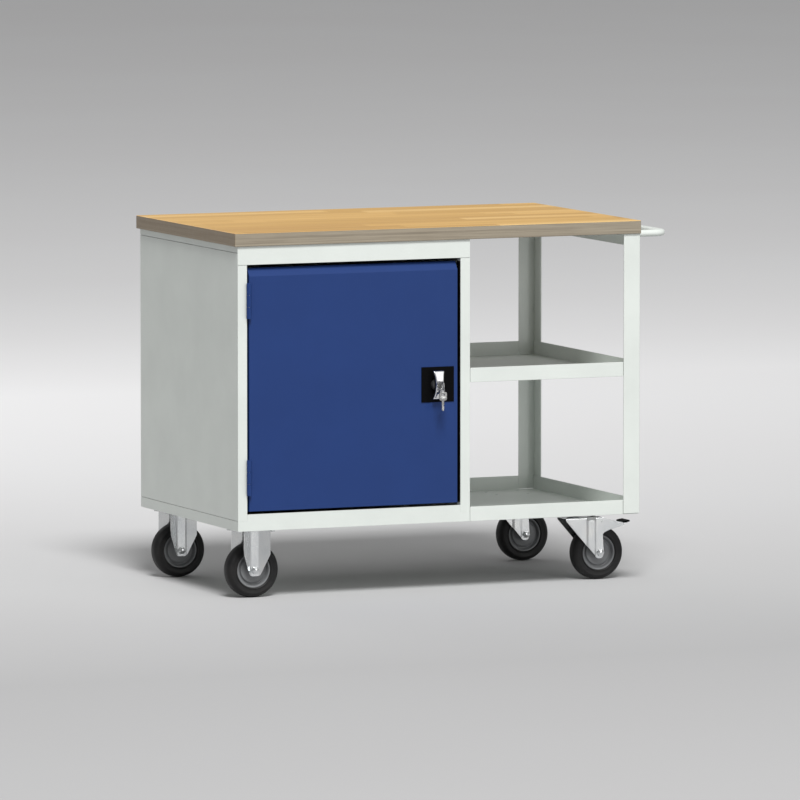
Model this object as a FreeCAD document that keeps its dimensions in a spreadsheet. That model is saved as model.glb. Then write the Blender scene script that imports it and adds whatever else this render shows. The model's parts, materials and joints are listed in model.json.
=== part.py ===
import FreeCAD, Part
import os
import re
import Sketcher

# Mobile workbench: a worktop on a cupboard with one hinged door, two open pan shelves,
# an L-section end frame, a tubular push handle and four castors.
#
# Sizes are written in the bench's own grid: across from the worktop's left edge, back from
# its front edge, up from the floor. The document's origin is on the floor under the middle
# of the whole bench, so every object is placed at its grid position less the centre.

doc = FreeCAD.newDocument("mobile_workbench")
sheet = doc.addObject("Spreadsheet::Sheet", "Sizes")

# Driving dimensions, in millimetres (angles in degrees).
SIZES = [
    # worktop
    ("top_length", 1000),
    ("top_depth", 600),
    ("top_thickness", 30),
    ("bench_height", 830),
    ("top_round", 1.5),
    # middle of the bench with its push handle and its lock, in the grid
    ("centre_across", 557),
    ("centre_back", 279),
    # sheet steel and small clearances
    ("gauge", 1.5),
    ("seam", 0.8),
    ("running_gap", 0.05),
    # castors
    ("castor_height", 158),
    ("wheel_radius", 62.5),
    ("tyre_width", 38),
    ("tyre_shoulder", 9),
    ("rim_radius", 40),
    ("hub_face_radius", 30),
    ("hub_radius", 12),
    ("hub_width", 43),
    ("axle_radius", 5),
    ("bolt_head_radius", 8.5),
    ("bolt_head_height", 5),
    ("axle_nut_height", 6),
    ("plate_gauge", 3),
    ("plate_across", 105),
    ("plate_back", 80),
    ("plate_hole_across", 80),
    ("plate_hole_back", 60),
    ("plate_hole_radius", 4),
    ("fork_gap", 45),
    ("cheek_gauge", 2.5),
    ("rib_proud", 3.5),
    ("rib_width", 20),
    ("fixed_across", 72.5),
    ("swivel_across", 938),
    ("fixed_front", 86),
    ("swivel_front", 111),
    ("castor_rear", 529),
    ("swivel_trail", 38),
    ("fixed_head_width", 64),
    ("fixed_toe_width", 24),
    ("fixed_taper_top", 99),
    ("fixed_flare", 14),
    ("fork_toe_drop", 13),
    ("raceway_radius", 31),
    ("raceway_height", 9),
    ("pedal_width", 34),
    ("brake_offset", 6),
    ("brake_rise", 70),
    ("brake_pin_radius", 3),
    # cupboard
    ("cab_left", 8.5),
    ("cab_right", 576.5),
    ("cab_front", 5),
    ("cab_back", 596),
    ("left_stile", 22.5),
    ("right_stile", 23.5),
    ("lip_depth", 20),
    ("rail_top", 196.4),
    ("base_flange_top", 181),
    ("fascia_bottom", 758.4),
    ("top_flange_bottom", 785.4),
    ("shelf_height", 560),
    ("shelf_flange", 25),
    ("shelf_front", 75),
    ("clip_length", 24),
    # door
    ("door_left", 36),
    ("door_right", 545),
    ("door_bottom", 202.5),
    ("door_top", 750.5),
    ("door_depth", 20),
    ("bevel_height", 18),
    ("bevel_depth", 13),
    # hinges
    ("hinge_across", 33.5),
    ("hinge_back", -0.6),
    ("hinge_length", 80),
    ("lower_hinge", 239),
    ("upper_hinge", 637.5),
    ("knuckle_radius", 5.5),
    ("knuckle_length", 26),
    ("knuckle_space", 0.7),
    ("pin_radius", 2.5),
    ("leaf_depth", 17),
    ("leaf_start", 5.3),
    # lock
    ("lock_across", 492),
    ("lock_plate_across", 496),
    ("lock_height", 473),
    ("lock_plate_size", 80),
    ("lock_plate_gauge", 2),
    ("lock_housing_radius", 13),
    ("lock_housing_front", -7),
    ("spindle_radius", 5),
    ("turn_length", 64),
    ("turn_width", 29),
    ("turn_waist", 20),
    ("turn_thickness", 13),
    ("cylinder_radius", 7),
    ("cylinder_depth", 9),
    ("cylinder_proud", 1),
    ("key_gauge", 2),
    ("key_bow", 19),
    ("key_blade", 24),
    ("key_blade_width", 6.5),
    ("key_hole_radius", 4),
    ("key_hole_inset", 5.8),
    ("ring_radius", 8.5),
    ("ring_wire", 0.8),
    ("ring_play", 1.5),
    ("cam_gauge", 3),
    ("cam_back", 27),
    ("cam_length", 73),
    ("cam_width", 18),
    ("cam_nut_radius", 8.5),
    ("cam_nut_height", 5),
    # open shelves and end frame
    ("mid_tray_bottom", 474.4),
    ("tray_flange", 33),
    ("tray_right", 997.4),
    ("flange_end", 958.4),
    ("relief_radius", 3),
    ("leg_gauge", 2),
    ("leg_width", 40),
    ("leg_round", 2.5),
    ("leg_bottom", 160),
    ("end_rail_height", 32),
    ("end_rail_flange", 25),
    ("rail_screw_inset", 13),
    # push handle
    ("tube_radius", 8),
    ("handle_reach", 1114),
    ("handle_front", 100),
    ("handle_rear", 500),
    ("handle_bend", 26),
    ("handle_height", 792),
    ("flange_gauge", 4),
    ("flange_width", 60),
    ("flange_height", 27),
]
for row, (alias, value) in enumerate(SIZES, start=1):
    sheet.set(f"A{row}", alias)
    sheet.set(f"B{row}", str(value))
    sheet.setAlias(f"B{row}", alias)
doc.recompute()

WORD = re.compile(r"[a-z][a-z_]*[a-z]")
ALIASES = {alias for alias, value in SIZES}
AXES = {
    "x": FreeCAD.Rotation(FreeCAD.Vector(0, 1, 0), 90),
    "y": FreeCAD.Rotation(FreeCAD.Vector(1, 0, 0), -90),
    "z": FreeCAD.Rotation(),
}
made = []

# Places of the worktop's screws, from a pan's left and front edges, and along the end rail.
PAN_SCREWS = [("110", "70"), ("460", "70"), ("110", "520"), ("460", "520")]
RAIL_SCREWS = ["110", "480"]


# ---------------------------------------------------------------- helpers


def formula(text):
    """The text with each sheet alias written as the sheet's cell."""
    return WORD.sub(lambda m: f"Sizes.{m.group()}" if m.group() in ALIASES else m.group(), str(text))


def number(text):
    """The value of a formula."""
    return float(sheet.evalExpression(formula(text)))


def bind(thing, name, text):
    thing.setExpression(name, formula(text))


def place(thing, across, back, up):
    """Binds an object's position to the grid."""
    bind(thing, "Placement.Base.x", f"{across} - centre_across")
    bind(thing, "Placement.Base.y", f"{back} - centre_back")
    bind(thing, "Placement.Base.z", up)


def node(thing, label):
    """Declares an object a sub-part of the bench, under its own name."""
    thing.Label = label
    made.append(thing)
    return thing


def block(name, low, size):
    """A box from its low corner in the grid and its three sizes."""
    box = doc.addObject("Part::Box", name)
    for side, length in zip(("Length", "Width", "Height"), size):
        bind(box, side, length)
    place(box, *low)
    return box


def rod(name, axis, start, radius, length):
    """A cylinder that starts at a grid point and runs along +x, +y or +z."""
    cylinder = doc.addObject("Part::Cylinder", name)
    cylinder.Placement = FreeCAD.Placement(FreeCAD.Vector(), AXES[axis])
    bind(cylinder, "Radius", radius)
    bind(cylinder, "Height", length)
    place(cylinder, *start)
    return cylinder


def fused(name, parts):
    whole = doc.addObject("Part::MultiFuse", name)
    whole.Shapes = parts
    whole.Refine = True
    return whole


def cut(name, base, tools):
    """The base less one tool, or less several joined tools."""
    result = doc.addObject("Part::Cut", name)
    result.Base = base
    result.Tool = tools[0] if len(tools) == 1 else fused(name + "_tools", tools)
    result.Refine = True
    return result


def group(name, parts):
    """Identical pieces that stay separate solids in one object."""
    compound = doc.addObject("Part::Compound", name)
    compound.Links = parts
    return compound


def new_body(name, across, back, up):
    body = doc.addObject("PartDesign::Body", name)
    place(body, across, back, up)
    return body


def origin_feature(body, role):
    return next(f for f in body.Origin.OriginFeatures if f.Role == role)


def sketch_on(body, plane, offset="0"):
    """An empty sketch on a plane of the body's own origin, moved along the plane's normal."""
    sketch = body.newObject("Sketcher::SketchObject", body.Name + "_sketch")
    sketch.AttachmentSupport = [(origin_feature(body, plane + "_Plane"), "")]
    sketch.MapMode = "FlatFace"
    bind(sketch, "AttachmentOffset.Base.z", offset)
    return sketch


def draw_polygon(sketch, points):
    """A closed outline whose every corner is held by two bound distances from the origin."""
    first = sketch.GeometryCount
    count = len(points)
    at = [FreeCAD.Vector(number(u), number(v), 0) for u, v in points]
    for i in range(count):
        sketch.addGeometry(Part.LineSegment(at[i], at[(i + 1) % count]))
    for i, corner in enumerate(points):
        line = first + i
        sketch.addConstraint(Sketcher.Constraint("Coincident", line, 2, first + (i + 1) % count, 1))
        for kind, text, value in zip(("DistanceX", "DistanceY"), corner, at[i]):
            index = sketch.addConstraint(Sketcher.Constraint(kind, line, 1, value))
            bind(sketch, f"Constraints[{index}]", text)


def draw_rectangle(sketch, low, high):
    draw_polygon(sketch, [low, (high[0], low[1]), high, (low[0], high[1])])


def draw_circle(sketch, middle, radius):
    at = FreeCAD.Vector(number(middle[0]), number(middle[1]), 0)
    circle = sketch.addGeometry(Part.Circle(at, FreeCAD.Vector(0, 0, 1), number(radius)))
    for kind, text, value in zip(("DistanceX", "DistanceY"), middle, at):
        index = sketch.addConstraint(Sketcher.Constraint(kind, circle, 3, value))
        bind(sketch, f"Constraints[{index}]", text)
    index = sketch.addConstraint(Sketcher.Constraint("Radius", circle, number(radius)))
    bind(sketch, f"Constraints[{index}]", radius)


def pad(body, sketch, length, symmetric=False, backwards=False):
    feature = body.newObject("PartDesign::Pad", body.Name + "_pad")
    feature.Profile = sketch
    bind(feature, "Length", length)
    feature.SideType = "Symmetric" if symmetric else "One side"
    feature.Reversed = backwards
    doc.recompute()
    return feature


def pocket(body, sketch, length, symmetric=False, backwards=False):
    """Cuts a sketch into the body, and makes sure that the cut took something away."""
    before = body.Shape.Volume
    feature = body.newObject("PartDesign::Pocket", body.Name + "_pocket")
    feature.Profile = sketch
    bind(feature, "Length", length)
    feature.SideType = "Symmetric" if symmetric else "One side"
    feature.Reversed = backwards
    doc.recompute()
    if body.Shape.Volume > before - 1:
        raise RuntimeError(f"{feature.Name} in {body.Label} cuts nothing")
    return feature


def drill(body, height, middles, radius):
    """Round holes through a level sheet of the body."""
    sketch = sketch_on(body, "XY", height)
    for middle in middles:
        draw_circle(sketch, middle, radius)
    pocket(body, sketch, "4 * gauge", symmetric=True)


def bolt_spots(pivot, front):
    """Where the bolts of the front and the rear castor come up through a pan."""
    return [
        (f"{pivot} {across} plate_hole_across / 2", f"{row} - cab_front {back} plate_hole_back / 2")
        for row in (front, "castor_rear")
        for across in "-+"
        for back in "-+"
    ]


def revolve(body, sketch, axis="Y_Axis"):
    feature = body.newObject("PartDesign::Revolution", body.Name + "_turned")
    feature.Profile = sketch
    feature.ReferenceAxis = (origin_feature(body, axis), [""])
    feature.Angle = 360
    doc.recompute()
    return feature


def soften(body, radius, wanted):
    """Rounds the edges of the body's tip that the test picks."""
    base = body.Tip
    edges = [f"Edge{i}" for i, edge in enumerate(base.Shape.Edges, start=1) if wanted(edge)]
    feature = body.newObject("PartDesign::Fillet", body.Name + "_round")
    feature.Base = (base, edges)
    bind(feature, "Radius", radius)
    doc.recompute()
    return feature


def upright(edge):
    """Is the edge a straight line along the body's own z?"""
    direction = edge.lastVertex().Point - edge.firstVertex().Point
    return isinstance(edge.Curve, Part.Line) and abs(direction.z) > 0.999 * direction.Length


# ---------------------------------------------------------------- worktop


def make_worktop():
    body = new_body("worktop", "0", "0", "bench_height - top_thickness")
    sketch = sketch_on(body, "XY")
    draw_rectangle(sketch, ("0", "0"), ("top_length", "top_depth"))
    pad(body, sketch, "top_thickness")
    soften(body, "top_round", lambda edge: True)
    node(body, "worktop")


def make_worktop_screws():
    """Screws up through the top pan and the end rail into the board."""
    spots = [(f"cab_left + {across}", f"cab_front + {back}") for across, back in PAN_SCREWS]
    spots += [
        ("top_length - leg_gauge - rail_screw_inset", f"cab_front + {back}") for back in RAIL_SCREWS
    ]
    under = "bench_height - top_thickness - gauge"
    screws = []
    for i, (across, back) in enumerate(spots):
        head = rod(f"screw_head_{i}", "z", (across, back, f"{under} - 2.6"), "4.5", "2.6")
        shank = rod(f"screw_shank_{i}", "z", (across, back, under), "2", "22")
        screws.append(fused(f"screw_{i}", [head, shank]))
    node(group("screws", screws), "worktop_screws")


# ---------------------------------------------------------------- cupboard shell


def make_side(label, outer, sign, stile):
    """A folded side: skin, front stile with a lip turned back, and rear return."""
    body = new_body(label, outer, "cab_front", "base_flange_top")
    depth = "cab_back - cab_front"
    sketch = sketch_on(body, "XY")

    def across(text):
        return f"{sign}({text})"

    draw_polygon(
        sketch,
        [
            ("0", "0"),
            (across(stile), "0"),
            (across(stile), "lip_depth"),
            (across(f"{stile} - gauge"), "lip_depth"),
            (across(f"{stile} - gauge"), "gauge"),
            (across("gauge"), "gauge"),
            (across("gauge"), f"{depth} - gauge"),
            (across("2 * lip_depth"), f"{depth} - gauge"),
            (across("2 * lip_depth"), depth),
            ("0", depth),
        ],
    )
    pad(body, sketch, "top_flange_bottom - seam - base_flange_top")
    # the stile stops under the fascia, and the skin behind it goes on up to the top pan
    upper = sketch_on(body, "XY", "fascia_bottom - seam - base_flange_top")
    draw_polygon(
        upper,
        [
            (across("-1"), "-1"),
            (across(f"{stile} + 1"), "-1"),
            (across(f"{stile} + 1"), "lip_depth + 1"),
            (across("gauge"), "lip_depth + 1"),
            (across("gauge"), "gauge + 0.1"),
            (across("-1"), "gauge + 0.1"),
        ],
    )
    pocket(body, upper, "100", backwards=True)
    # a shadow line between the skin and the base pan's side flange
    lower = sketch_on(body, "XY")
    draw_rectangle(lower, (across("-1"), "gauge + 0.1"), (across("gauge + 0.1"), f"{depth} + 1"))
    pocket(body, lower, "seam", backwards=True)
    node(body, label)


def make_base():
    """The base pan: a floor with flanges turned up, the front one taller between the stiles."""
    body = new_body("cabinet_base", "cab_left", "cab_front", "castor_height")
    wide = "cab_right - cab_left"
    deep = "cab_back - cab_front"
    outline = sketch_on(body, "XY")
    draw_rectangle(outline, ("0", "0"), (wide, deep))
    pad(body, outline, "base_flange_top - castor_height")
    inside = sketch_on(body, "XY", "gauge")
    draw_rectangle(inside, ("gauge", "gauge"), (f"{wide} - gauge", f"{deep} - gauge"))
    pocket(body, inside, "100", backwards=True)
    rail = sketch_on(body, "XZ")
    draw_rectangle(
        rail,
        ("left_stile", "base_flange_top - castor_height"),
        (f"{wide} - right_stile", "rail_top - castor_height"),
    )
    pad(body, rail, "gauge", backwards=True)
    drill(body, "0", bolt_spots("fixed_across - cab_left", "fixed_front"), "plate_hole_radius")
    node(body, "cabinet_base")


def make_top_pan():
    """The top pan: a deck under the worktop with flanges turned down, the front one the fascia."""
    body = new_body("cabinet_top", "cab_left", "cab_front", "top_flange_bottom")
    wide = "cab_right - cab_left"
    deep = "cab_back - cab_front"
    tall = "bench_height - top_thickness - top_flange_bottom"
    outline = sketch_on(body, "XY")
    draw_rectangle(outline, ("0", "0"), (wide, deep))
    pad(body, outline, tall)
    inside = sketch_on(body, "XY", f"{tall} - gauge")
    draw_rectangle(inside, ("gauge", "gauge"), (f"{wide} - gauge", f"{deep} - gauge"))
    pocket(body, inside, "100")
    fascia = sketch_on(body, "XZ")
    draw_rectangle(fascia, ("0", "fascia_bottom - top_flange_bottom"), (wide, "0"))
    pad(body, fascia, "gauge", backwards=True)
    drill(body, tall, PAN_SCREWS, "2")
    node(body, "cabinet_top")


def make_back():
    low = ("cab_left + gauge", "cab_back - 2 * gauge", "castor_height + gauge")
    size = (
        "cab_right - cab_left - 2 * gauge",
        "gauge",
        "bench_height - top_thickness - castor_height - 2 * gauge",
    )
    node(block("back", low, size), "cabinet_back")


def make_inner_shelf():
    """The shelf inside the cupboard, its edges folded down, and the clips that it lies on."""
    left = "cab_left + gauge + 1"
    right = "cab_right - gauge - 1"
    rear = "cab_back - 2 * gauge - 1"
    outside = block(
        "shelf_outside",
        (left, "shelf_front", "shelf_height - shelf_flange"),
        (f"{right} - ({left})", f"{rear} - shelf_front", "shelf_flange"),
    )
    inside = block(
        "shelf_inside",
        (f"{left} + gauge", "shelf_front + gauge", "shelf_height - shelf_flange - 1"),
        (
            f"{right} - ({left}) - 2 * gauge",
            f"{rear} - shelf_front - 2 * gauge",
            "shelf_flange + 1 - gauge",
        ),
    )
    node(cut("shelf", outside, [inside]), "inner_shelf")
    clips = []
    for side, wall in (("left", "cab_left + gauge"), ("right", "cab_right - gauge - 10")):
        for i, back in enumerate(("shelf_front + 40", "cab_back - 90")):
            low = (wall, back, "shelf_height - shelf_flange - 3")
            clips.append(block(f"clip_{side}_{i}", low, ("10", "clip_length", "3")))
    node(group("clips", clips), "shelf_clips")


# ---------------------------------------------------------------- door


def make_door_panel():
    """A pan door whose top edge slants back, hollow behind, with a hole for the lock."""
    body = new_body("door_panel", "door_left", "cab_front", "door_bottom")
    wide = "door_right - door_left"
    tall = "door_top - door_bottom"
    sketch = sketch_on(body, "YZ")
    draw_polygon(
        sketch,
        [
            ("0", "0"),
            ("door_depth", "0"),
            ("door_depth", tall),
            ("bevel_depth", tall),
            ("0", f"{tall} - bevel_height"),
        ],
    )
    pad(body, sketch, wide)
    base = body.Tip
    rear = [
        f"Face{i}"
        for i, face in enumerate(base.Shape.Faces, start=1)
        if abs(face.CenterOfMass.y - number("door_depth")) < 0.01
    ]
    shell = body.newObject("PartDesign::Thickness", "door_shell")
    shell.Base = (base, rear)
    bind(shell, "Value", "gauge")
    shell.Reversed = True
    shell.Join = "Intersection"
    doc.recompute()
    hole = sketch_on(body, "XZ")
    draw_circle(hole, ("lock_across - door_left", "lock_height - door_bottom"), "lock_housing_radius - 3")
    pocket(body, hole, "4", symmetric=True)
    node(body, "door_panel")


def make_door_stiffener():
    """A hat section from the bottom of the door to its top, spot-welded behind the skin."""
    body = new_body("door_stiffener", "(door_left + door_right) / 2", "cab_front + gauge", "door_bottom + 8")
    sketch = sketch_on(body, "XY")
    depth = "door_depth - 2 * gauge - 3"
    draw_polygon(
        sketch,
        [
            ("-55", "0"),
            ("-30", "0"),
            ("-30", depth),
            ("30", depth),
            ("30", "0"),
            ("55", "0"),
            ("55", "gauge"),
            ("30 + gauge", "gauge"),
            ("30 + gauge", f"{depth} + gauge"),
            ("-30 - gauge", f"{depth} + gauge"),
            ("-30 - gauge", "gauge"),
            ("-55", "gauge"),
        ],
    )
    pad(body, sketch, "door_top - door_bottom - bevel_height - 16")
    node(body, "door_stiffener")


def make_hinge_leaf(name, bottom, leaf_left, knuckle_starts, knuckle_length, bore):
    """One leaf of a hinge: a plate in the door gap, and its share of the knuckles."""
    pieces = [
        block(
            f"{name}_plate",
            (leaf_left, "leaf_start", bottom),
            ("gauge", "leaf_depth", "hinge_length"),
        )
    ]
    for i, start in enumerate(knuckle_starts):
        foot = f"{bottom} + {start}"
        pieces.append(
            rod(
                f"{name}_knuckle_{i}",
                "z",
                ("hinge_across", "hinge_back", foot),
                "knuckle_radius",
                knuckle_length,
            )
        )
        pieces.append(
            block(
                f"{name}_neck_{i}",
                (leaf_left, "hinge_back", foot),
                ("gauge", "leaf_start - hinge_back", knuckle_length),
            )
        )
    hole = rod(f"{name}_bore", "z", ("hinge_across", "hinge_back", f"{bottom} - 1"), bore, "hinge_length + 2")
    return cut(name, fused(f"{name}_solid", pieces), [hole])


def make_hinges():
    """Two three-knuckle hinges: the middle knuckle on the frame, the outer two on the door."""
    frame_leaves = []
    door_leaves = []
    pins = []
    for name, bottom in (("lower", "lower_hinge"), ("upper", "upper_hinge")):
        middle = ["knuckle_length + knuckle_space"]
        middle_length = "hinge_length - 2 * knuckle_length - 2 * knuckle_space"
        outer = ["0", "hinge_length - knuckle_length"]
        frame_leaves.append(
            make_hinge_leaf(
                f"{name}_frame_leaf", bottom, "cab_left + left_stile", middle, middle_length, "pin_radius"
            )
        )
        door_leaves.append(
            make_hinge_leaf(
                f"{name}_door_leaf",
                bottom,
                "door_left - gauge",
                outer,
                "knuckle_length",
                "pin_radius + running_gap",
            )
        )
        pins.append(
            rod(f"{name}_pin", "z", ("hinge_across", "hinge_back", bottom), "pin_radius", "hinge_length")
        )
    node(group("frame_leaves", frame_leaves), "hinge_frame_leaves")
    node(group("door_leaves", door_leaves), "hinge_door_leaves")
    node(group("pins", pins), "hinge_pins")


# ---------------------------------------------------------------- lock


def make_lock_plate():
    body = new_body("lock_plate", "lock_plate_across", "cab_front", "lock_height")
    sketch = sketch_on(body, "XZ")
    half = "lock_plate_size / 2"
    draw_rectangle(sketch, (f"-{half}", f"-{half}"), (half, half))
    pad(body, sketch, "lock_plate_gauge")
    hole = sketch_on(body, "XZ")
    draw_circle(hole, ("lock_across - lock_plate_across", "0"), "lock_housing_radius - 3")
    pocket(body, hole, "10", symmetric=True)
    node(body, "lock_plate")


def make_lock_housing():
    """A round boss on the plate whose stem holds the spindle's bore."""
    face = "cab_front - lock_plate_gauge"
    boss = rod(
        "housing_boss",
        "y",
        ("lock_across", "lock_housing_front", "lock_height"),
        "lock_housing_radius",
        f"{face} - lock_housing_front",
    )
    stem = rod(
        "housing_stem",
        "y",
        ("lock_across", face, "lock_height"),
        "lock_housing_radius - 3",
        f"cam_back - 1 - ({face})",
    )
    bore = rod(
        "housing_bore",
        "y",
        ("lock_across", "lock_housing_front - 1", "lock_height"),
        "spindle_radius + running_gap",
        "60",
    )
    node(cut("housing", fused("housing_solid", [boss, stem]), [bore]), "lock_housing")


def make_turn_handle():
    """A waisted bar on a spindle, with a blind bore in its front for the cylinder."""
    back_of_bar = "lock_housing_front - 0.5"
    body = new_body("turn_handle", "lock_across", back_of_bar, "lock_height")
    bar = sketch_on(body, "XZ")
    draw_rectangle(
        bar,
        ("-turn_width / 2", "-turn_length / 2"),
        ("turn_width / 2", "turn_length / 2"),
    )
    pad(body, bar, "turn_thickness")
    # each flank is an arc through the bar's two corners and its waist
    sag = "((turn_width - turn_waist) / 2)"
    flank = f"(turn_length * turn_length / (8 * {sag}) + {sag} / 2)"
    flanks = sketch_on(body, "XZ")
    draw_circle(flanks, (f"-turn_waist / 2 - {flank}", "0"), flank)
    draw_circle(flanks, (f"turn_waist / 2 + {flank}", "0"), flank)
    pocket(body, flanks, "100", symmetric=True)
    front = -number("turn_thickness")
    soften(
        body,
        "2",
        lambda edge: abs(edge.BoundBox.YMin - front) < 0.01 and abs(edge.BoundBox.YMax - front) < 0.01,
    )
    mouth = sketch_on(body, "XZ", "turn_thickness - cylinder_depth")
    draw_circle(mouth, ("0", "0"), "cylinder_radius + running_gap")
    pocket(body, mouth, "100", backwards=True)
    spindle = sketch_on(body, "XZ")
    draw_circle(spindle, ("0", "0"), "spindle_radius")
    pad(body, spindle, f"cam_back + cam_gauge + 7 - ({back_of_bar})", backwards=True)
    node(body, "turn_handle")


def make_lock_cylinder():
    """The key's cylinder, slotted for the blade."""
    front = "lock_housing_front - 0.5 - turn_thickness - cylinder_proud"
    barrel = rod(
        "cylinder_barrel",
        "y",
        ("lock_across", front, "lock_height"),
        "cylinder_radius",
        "cylinder_depth + cylinder_proud - 0.2",
    )
    slot = block(
        "cylinder_slot",
        ("lock_across - key_gauge / 2", f"{front} - 1", "lock_height - key_blade_width / 2"),
        ("key_gauge", "cylinder_depth", "key_blade_width"),
    )
    node(cut("cylinder", barrel, [slot]), "lock_cylinder")
    return front


def make_key(label, plane, blade):
    """A flat key drawn with its ring hole at the origin and its blade pointing down the sketch."""
    body = doc.addObject("PartDesign::Body", label)
    outline = sketch_on(body, plane)
    half_bow = "key_bow / 2"
    half_blade = "key_blade_width / 2"
    neck = "key_hole_inset - key_bow"
    draw_polygon(
        outline,
        [
            (f"-{half_bow}", f"{neck} + 3"),
            (f"-{half_bow} + 4", neck),
            (f"-{half_blade}", neck),
            (f"-{half_blade}", f"{neck} - {blade} + 3"),
            ("0", f"{neck} - {blade}"),
            (half_blade, f"{neck} - {blade} + 3"),
            (half_blade, neck),
            (f"{half_bow} - 4", neck),
            (half_bow, f"{neck} + 3"),
            (half_bow, "key_hole_inset - 4"),
            (f"{half_bow} - 4", "key_hole_inset"),
            (f"-{half_bow} + 4", "key_hole_inset"),
            (f"-{half_bow}", "key_hole_inset - 4"),
        ],
    )
    draw_circle(outline, ("0", "0"), "key_hole_radius")
    pad(body, outline, "key_gauge", symmetric=True)
    return node(body, label)


def make_keys(cylinder_front):
    """One key in the cylinder, a ring through its bow, and a second key hanging on the ring."""
    blade_in_cylinder = "(cylinder_depth - 1.5)"
    key = make_key("key", "XY", f"{blade_in_cylinder} + 1")
    key_hole_back = f"{cylinder_front} - 1 - key_bow + key_hole_inset"
    # the sketch's down becomes the key's way into the lock, and its flat stands upright
    key.Placement = FreeCAD.Placement(
        FreeCAD.Vector(),
        FreeCAD.Rotation(FreeCAD.Vector(0, 0, 1), FreeCAD.Vector(0, -1, 0), FreeCAD.Vector(1, 0, 0)),
    )
    place(key, "lock_across", key_hole_back, "lock_height")
    ring = doc.addObject("Part::Torus", "ring")
    bind(ring, "Radius1", "ring_radius")
    bind(ring, "Radius2", "ring_wire")
    # the ring stands upright, halfway between the planes of the two keys
    ring.Placement = FreeCAD.Placement(
        FreeCAD.Vector(),
        FreeCAD.Rotation(FreeCAD.Vector(1, 1, 0), FreeCAD.Vector(0, 0, 1), FreeCAD.Vector(1, -1, 0)),
    )
    place(ring, "lock_across", key_hole_back, "lock_height - ring_play - ring_radius")
    node(ring, "key_ring")
    spare = make_key("spare_key", "XZ", "key_blade")
    place(spare, "lock_across", key_hole_back, "lock_height - 2 * ring_play - 2 * ring_radius")


def make_latch_cam():
    """A tongue on the spindle behind the door, held by a nut. It hangs down when unlocked."""
    tongue = block(
        "cam_tongue",
        ("lock_across - cam_width / 2", "cam_back", "lock_height - cam_length"),
        ("cam_width", "cam_gauge", "cam_length"),
    )
    eye = rod("cam_eye", "y", ("lock_across", "cam_back", "lock_height"), "cam_width / 2 + 2", "cam_gauge")
    bore = rod(
        "cam_bore", "y", ("lock_across", "cam_back - 1", "lock_height"), "spindle_radius", "cam_gauge + 2"
    )
    node(cut("cam", fused("cam_solid", [tongue, eye]), [bore]), "latch_cam")
    behind = ("lock_across", "cam_back + cam_gauge", "lock_height")
    node(nut("cam_nut", "y", behind, "cam_nut_radius", "cam_nut_height", "spindle_radius"), "cam_nut")


def nut(name, axis, start, corner_radius, height, bore):
    """A hexagon nut on a rod of the same axis."""
    hexagon = doc.addObject("Part::Prism", name + "_hexagon")
    hexagon.Polygon = 6
    hexagon.Placement = FreeCAD.Placement(FreeCAD.Vector(), AXES[axis])
    bind(hexagon, "Circumradius", corner_radius)
    bind(hexagon, "Height", height)
    place(hexagon, *start)
    return cut(name, hexagon, [rod(name + "_bore", axis, start, bore, height)])


# ---------------------------------------------------------------- open shelves and end frame


def make_tray(label, bottom, relieved):
    """A shelf pan between the cupboard and the legs. Its front and rear flanges stop at the legs."""
    body = new_body(label, "cab_right", "cab_front", bottom)
    wide = "tray_right - cab_right"
    deep = "cab_back - cab_front"
    outline = sketch_on(body, "XY")
    draw_rectangle(outline, ("0", "0"), (wide, deep))
    pad(body, outline, "tray_flange")
    inside = sketch_on(body, "XY", "gauge")
    draw_rectangle(inside, ("gauge", "gauge"), (f"{wide} - gauge", f"{deep} - gauge"))
    pocket(body, inside, "100", backwards=True)
    # both right corners are notched for the leg's own flange
    notches = sketch_on(body, "XY")
    step = "leg_gauge - 0.5"
    for low, high in (("-1", step), (f"{deep} - ({step})", f"{deep} + 1")):
        draw_rectangle(notches, ("flange_end - cab_right", low), (f"{wide} + 1", high))
    pocket(body, notches, "100", backwards=True)
    if relieved:
        holes = sketch_on(body, "XY")
        for back in ("leg_gauge + 4", f"{deep} - leg_gauge - 4"):
            draw_circle(holes, (f"{wide} - gauge - relief_radius - 1", back), "relief_radius")
        pocket(body, holes, "10", symmetric=True)
        swivel_bolts = bolt_spots("swivel_across - swivel_trail - cab_right", "swivel_front")
        drill(body, "0", swivel_bolts, "plate_hole_radius")
    node(body, label)


def make_leg(label, back, sign):
    """An L-section leg with its corner outwards."""
    body = new_body(label, "top_length", back, "leg_bottom")
    sketch = sketch_on(body, "XY")
    draw_polygon(
        sketch,
        [
            ("0", "0"),
            ("0", f"{sign}leg_width"),
            ("-leg_gauge", f"{sign}leg_width"),
            ("-leg_gauge", f"{sign}leg_gauge"),
            ("-leg_width - 1", f"{sign}leg_gauge"),
            ("-leg_width - 1", "0"),
        ],
    )
    pad(body, sketch, "bench_height - top_thickness - leg_bottom")
    soften(
        body,
        "leg_round",
        lambda edge: upright(edge) and abs(edge.BoundBox.XMin) < 0.01 and abs(edge.BoundBox.YMin) < 0.01,
    )
    node(body, label)


def make_end_rail():
    """An L-section rail between the legs, its flange under the worktop."""
    under_top = "bench_height - top_thickness"
    body = new_body("end_top_rail", "top_length - leg_gauge", "cab_front + gauge", under_top)
    sketch = sketch_on(body, "XZ")
    draw_polygon(
        sketch,
        [
            ("0", "0"),
            ("0", "-end_rail_height"),
            ("-gauge", "-end_rail_height"),
            ("-gauge", "-gauge"),
            ("-end_rail_flange", "-gauge"),
            ("-end_rail_flange", "0"),
        ],
    )
    pad(body, sketch, "cab_back - cab_front - 2 * gauge", backwards=True)
    drill(body, "gauge", [("-rail_screw_inset", f"{back} - gauge") for back in RAIL_SCREWS], "2")
    node(body, "end_top_rail")


# ---------------------------------------------------------------- push handle


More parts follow.
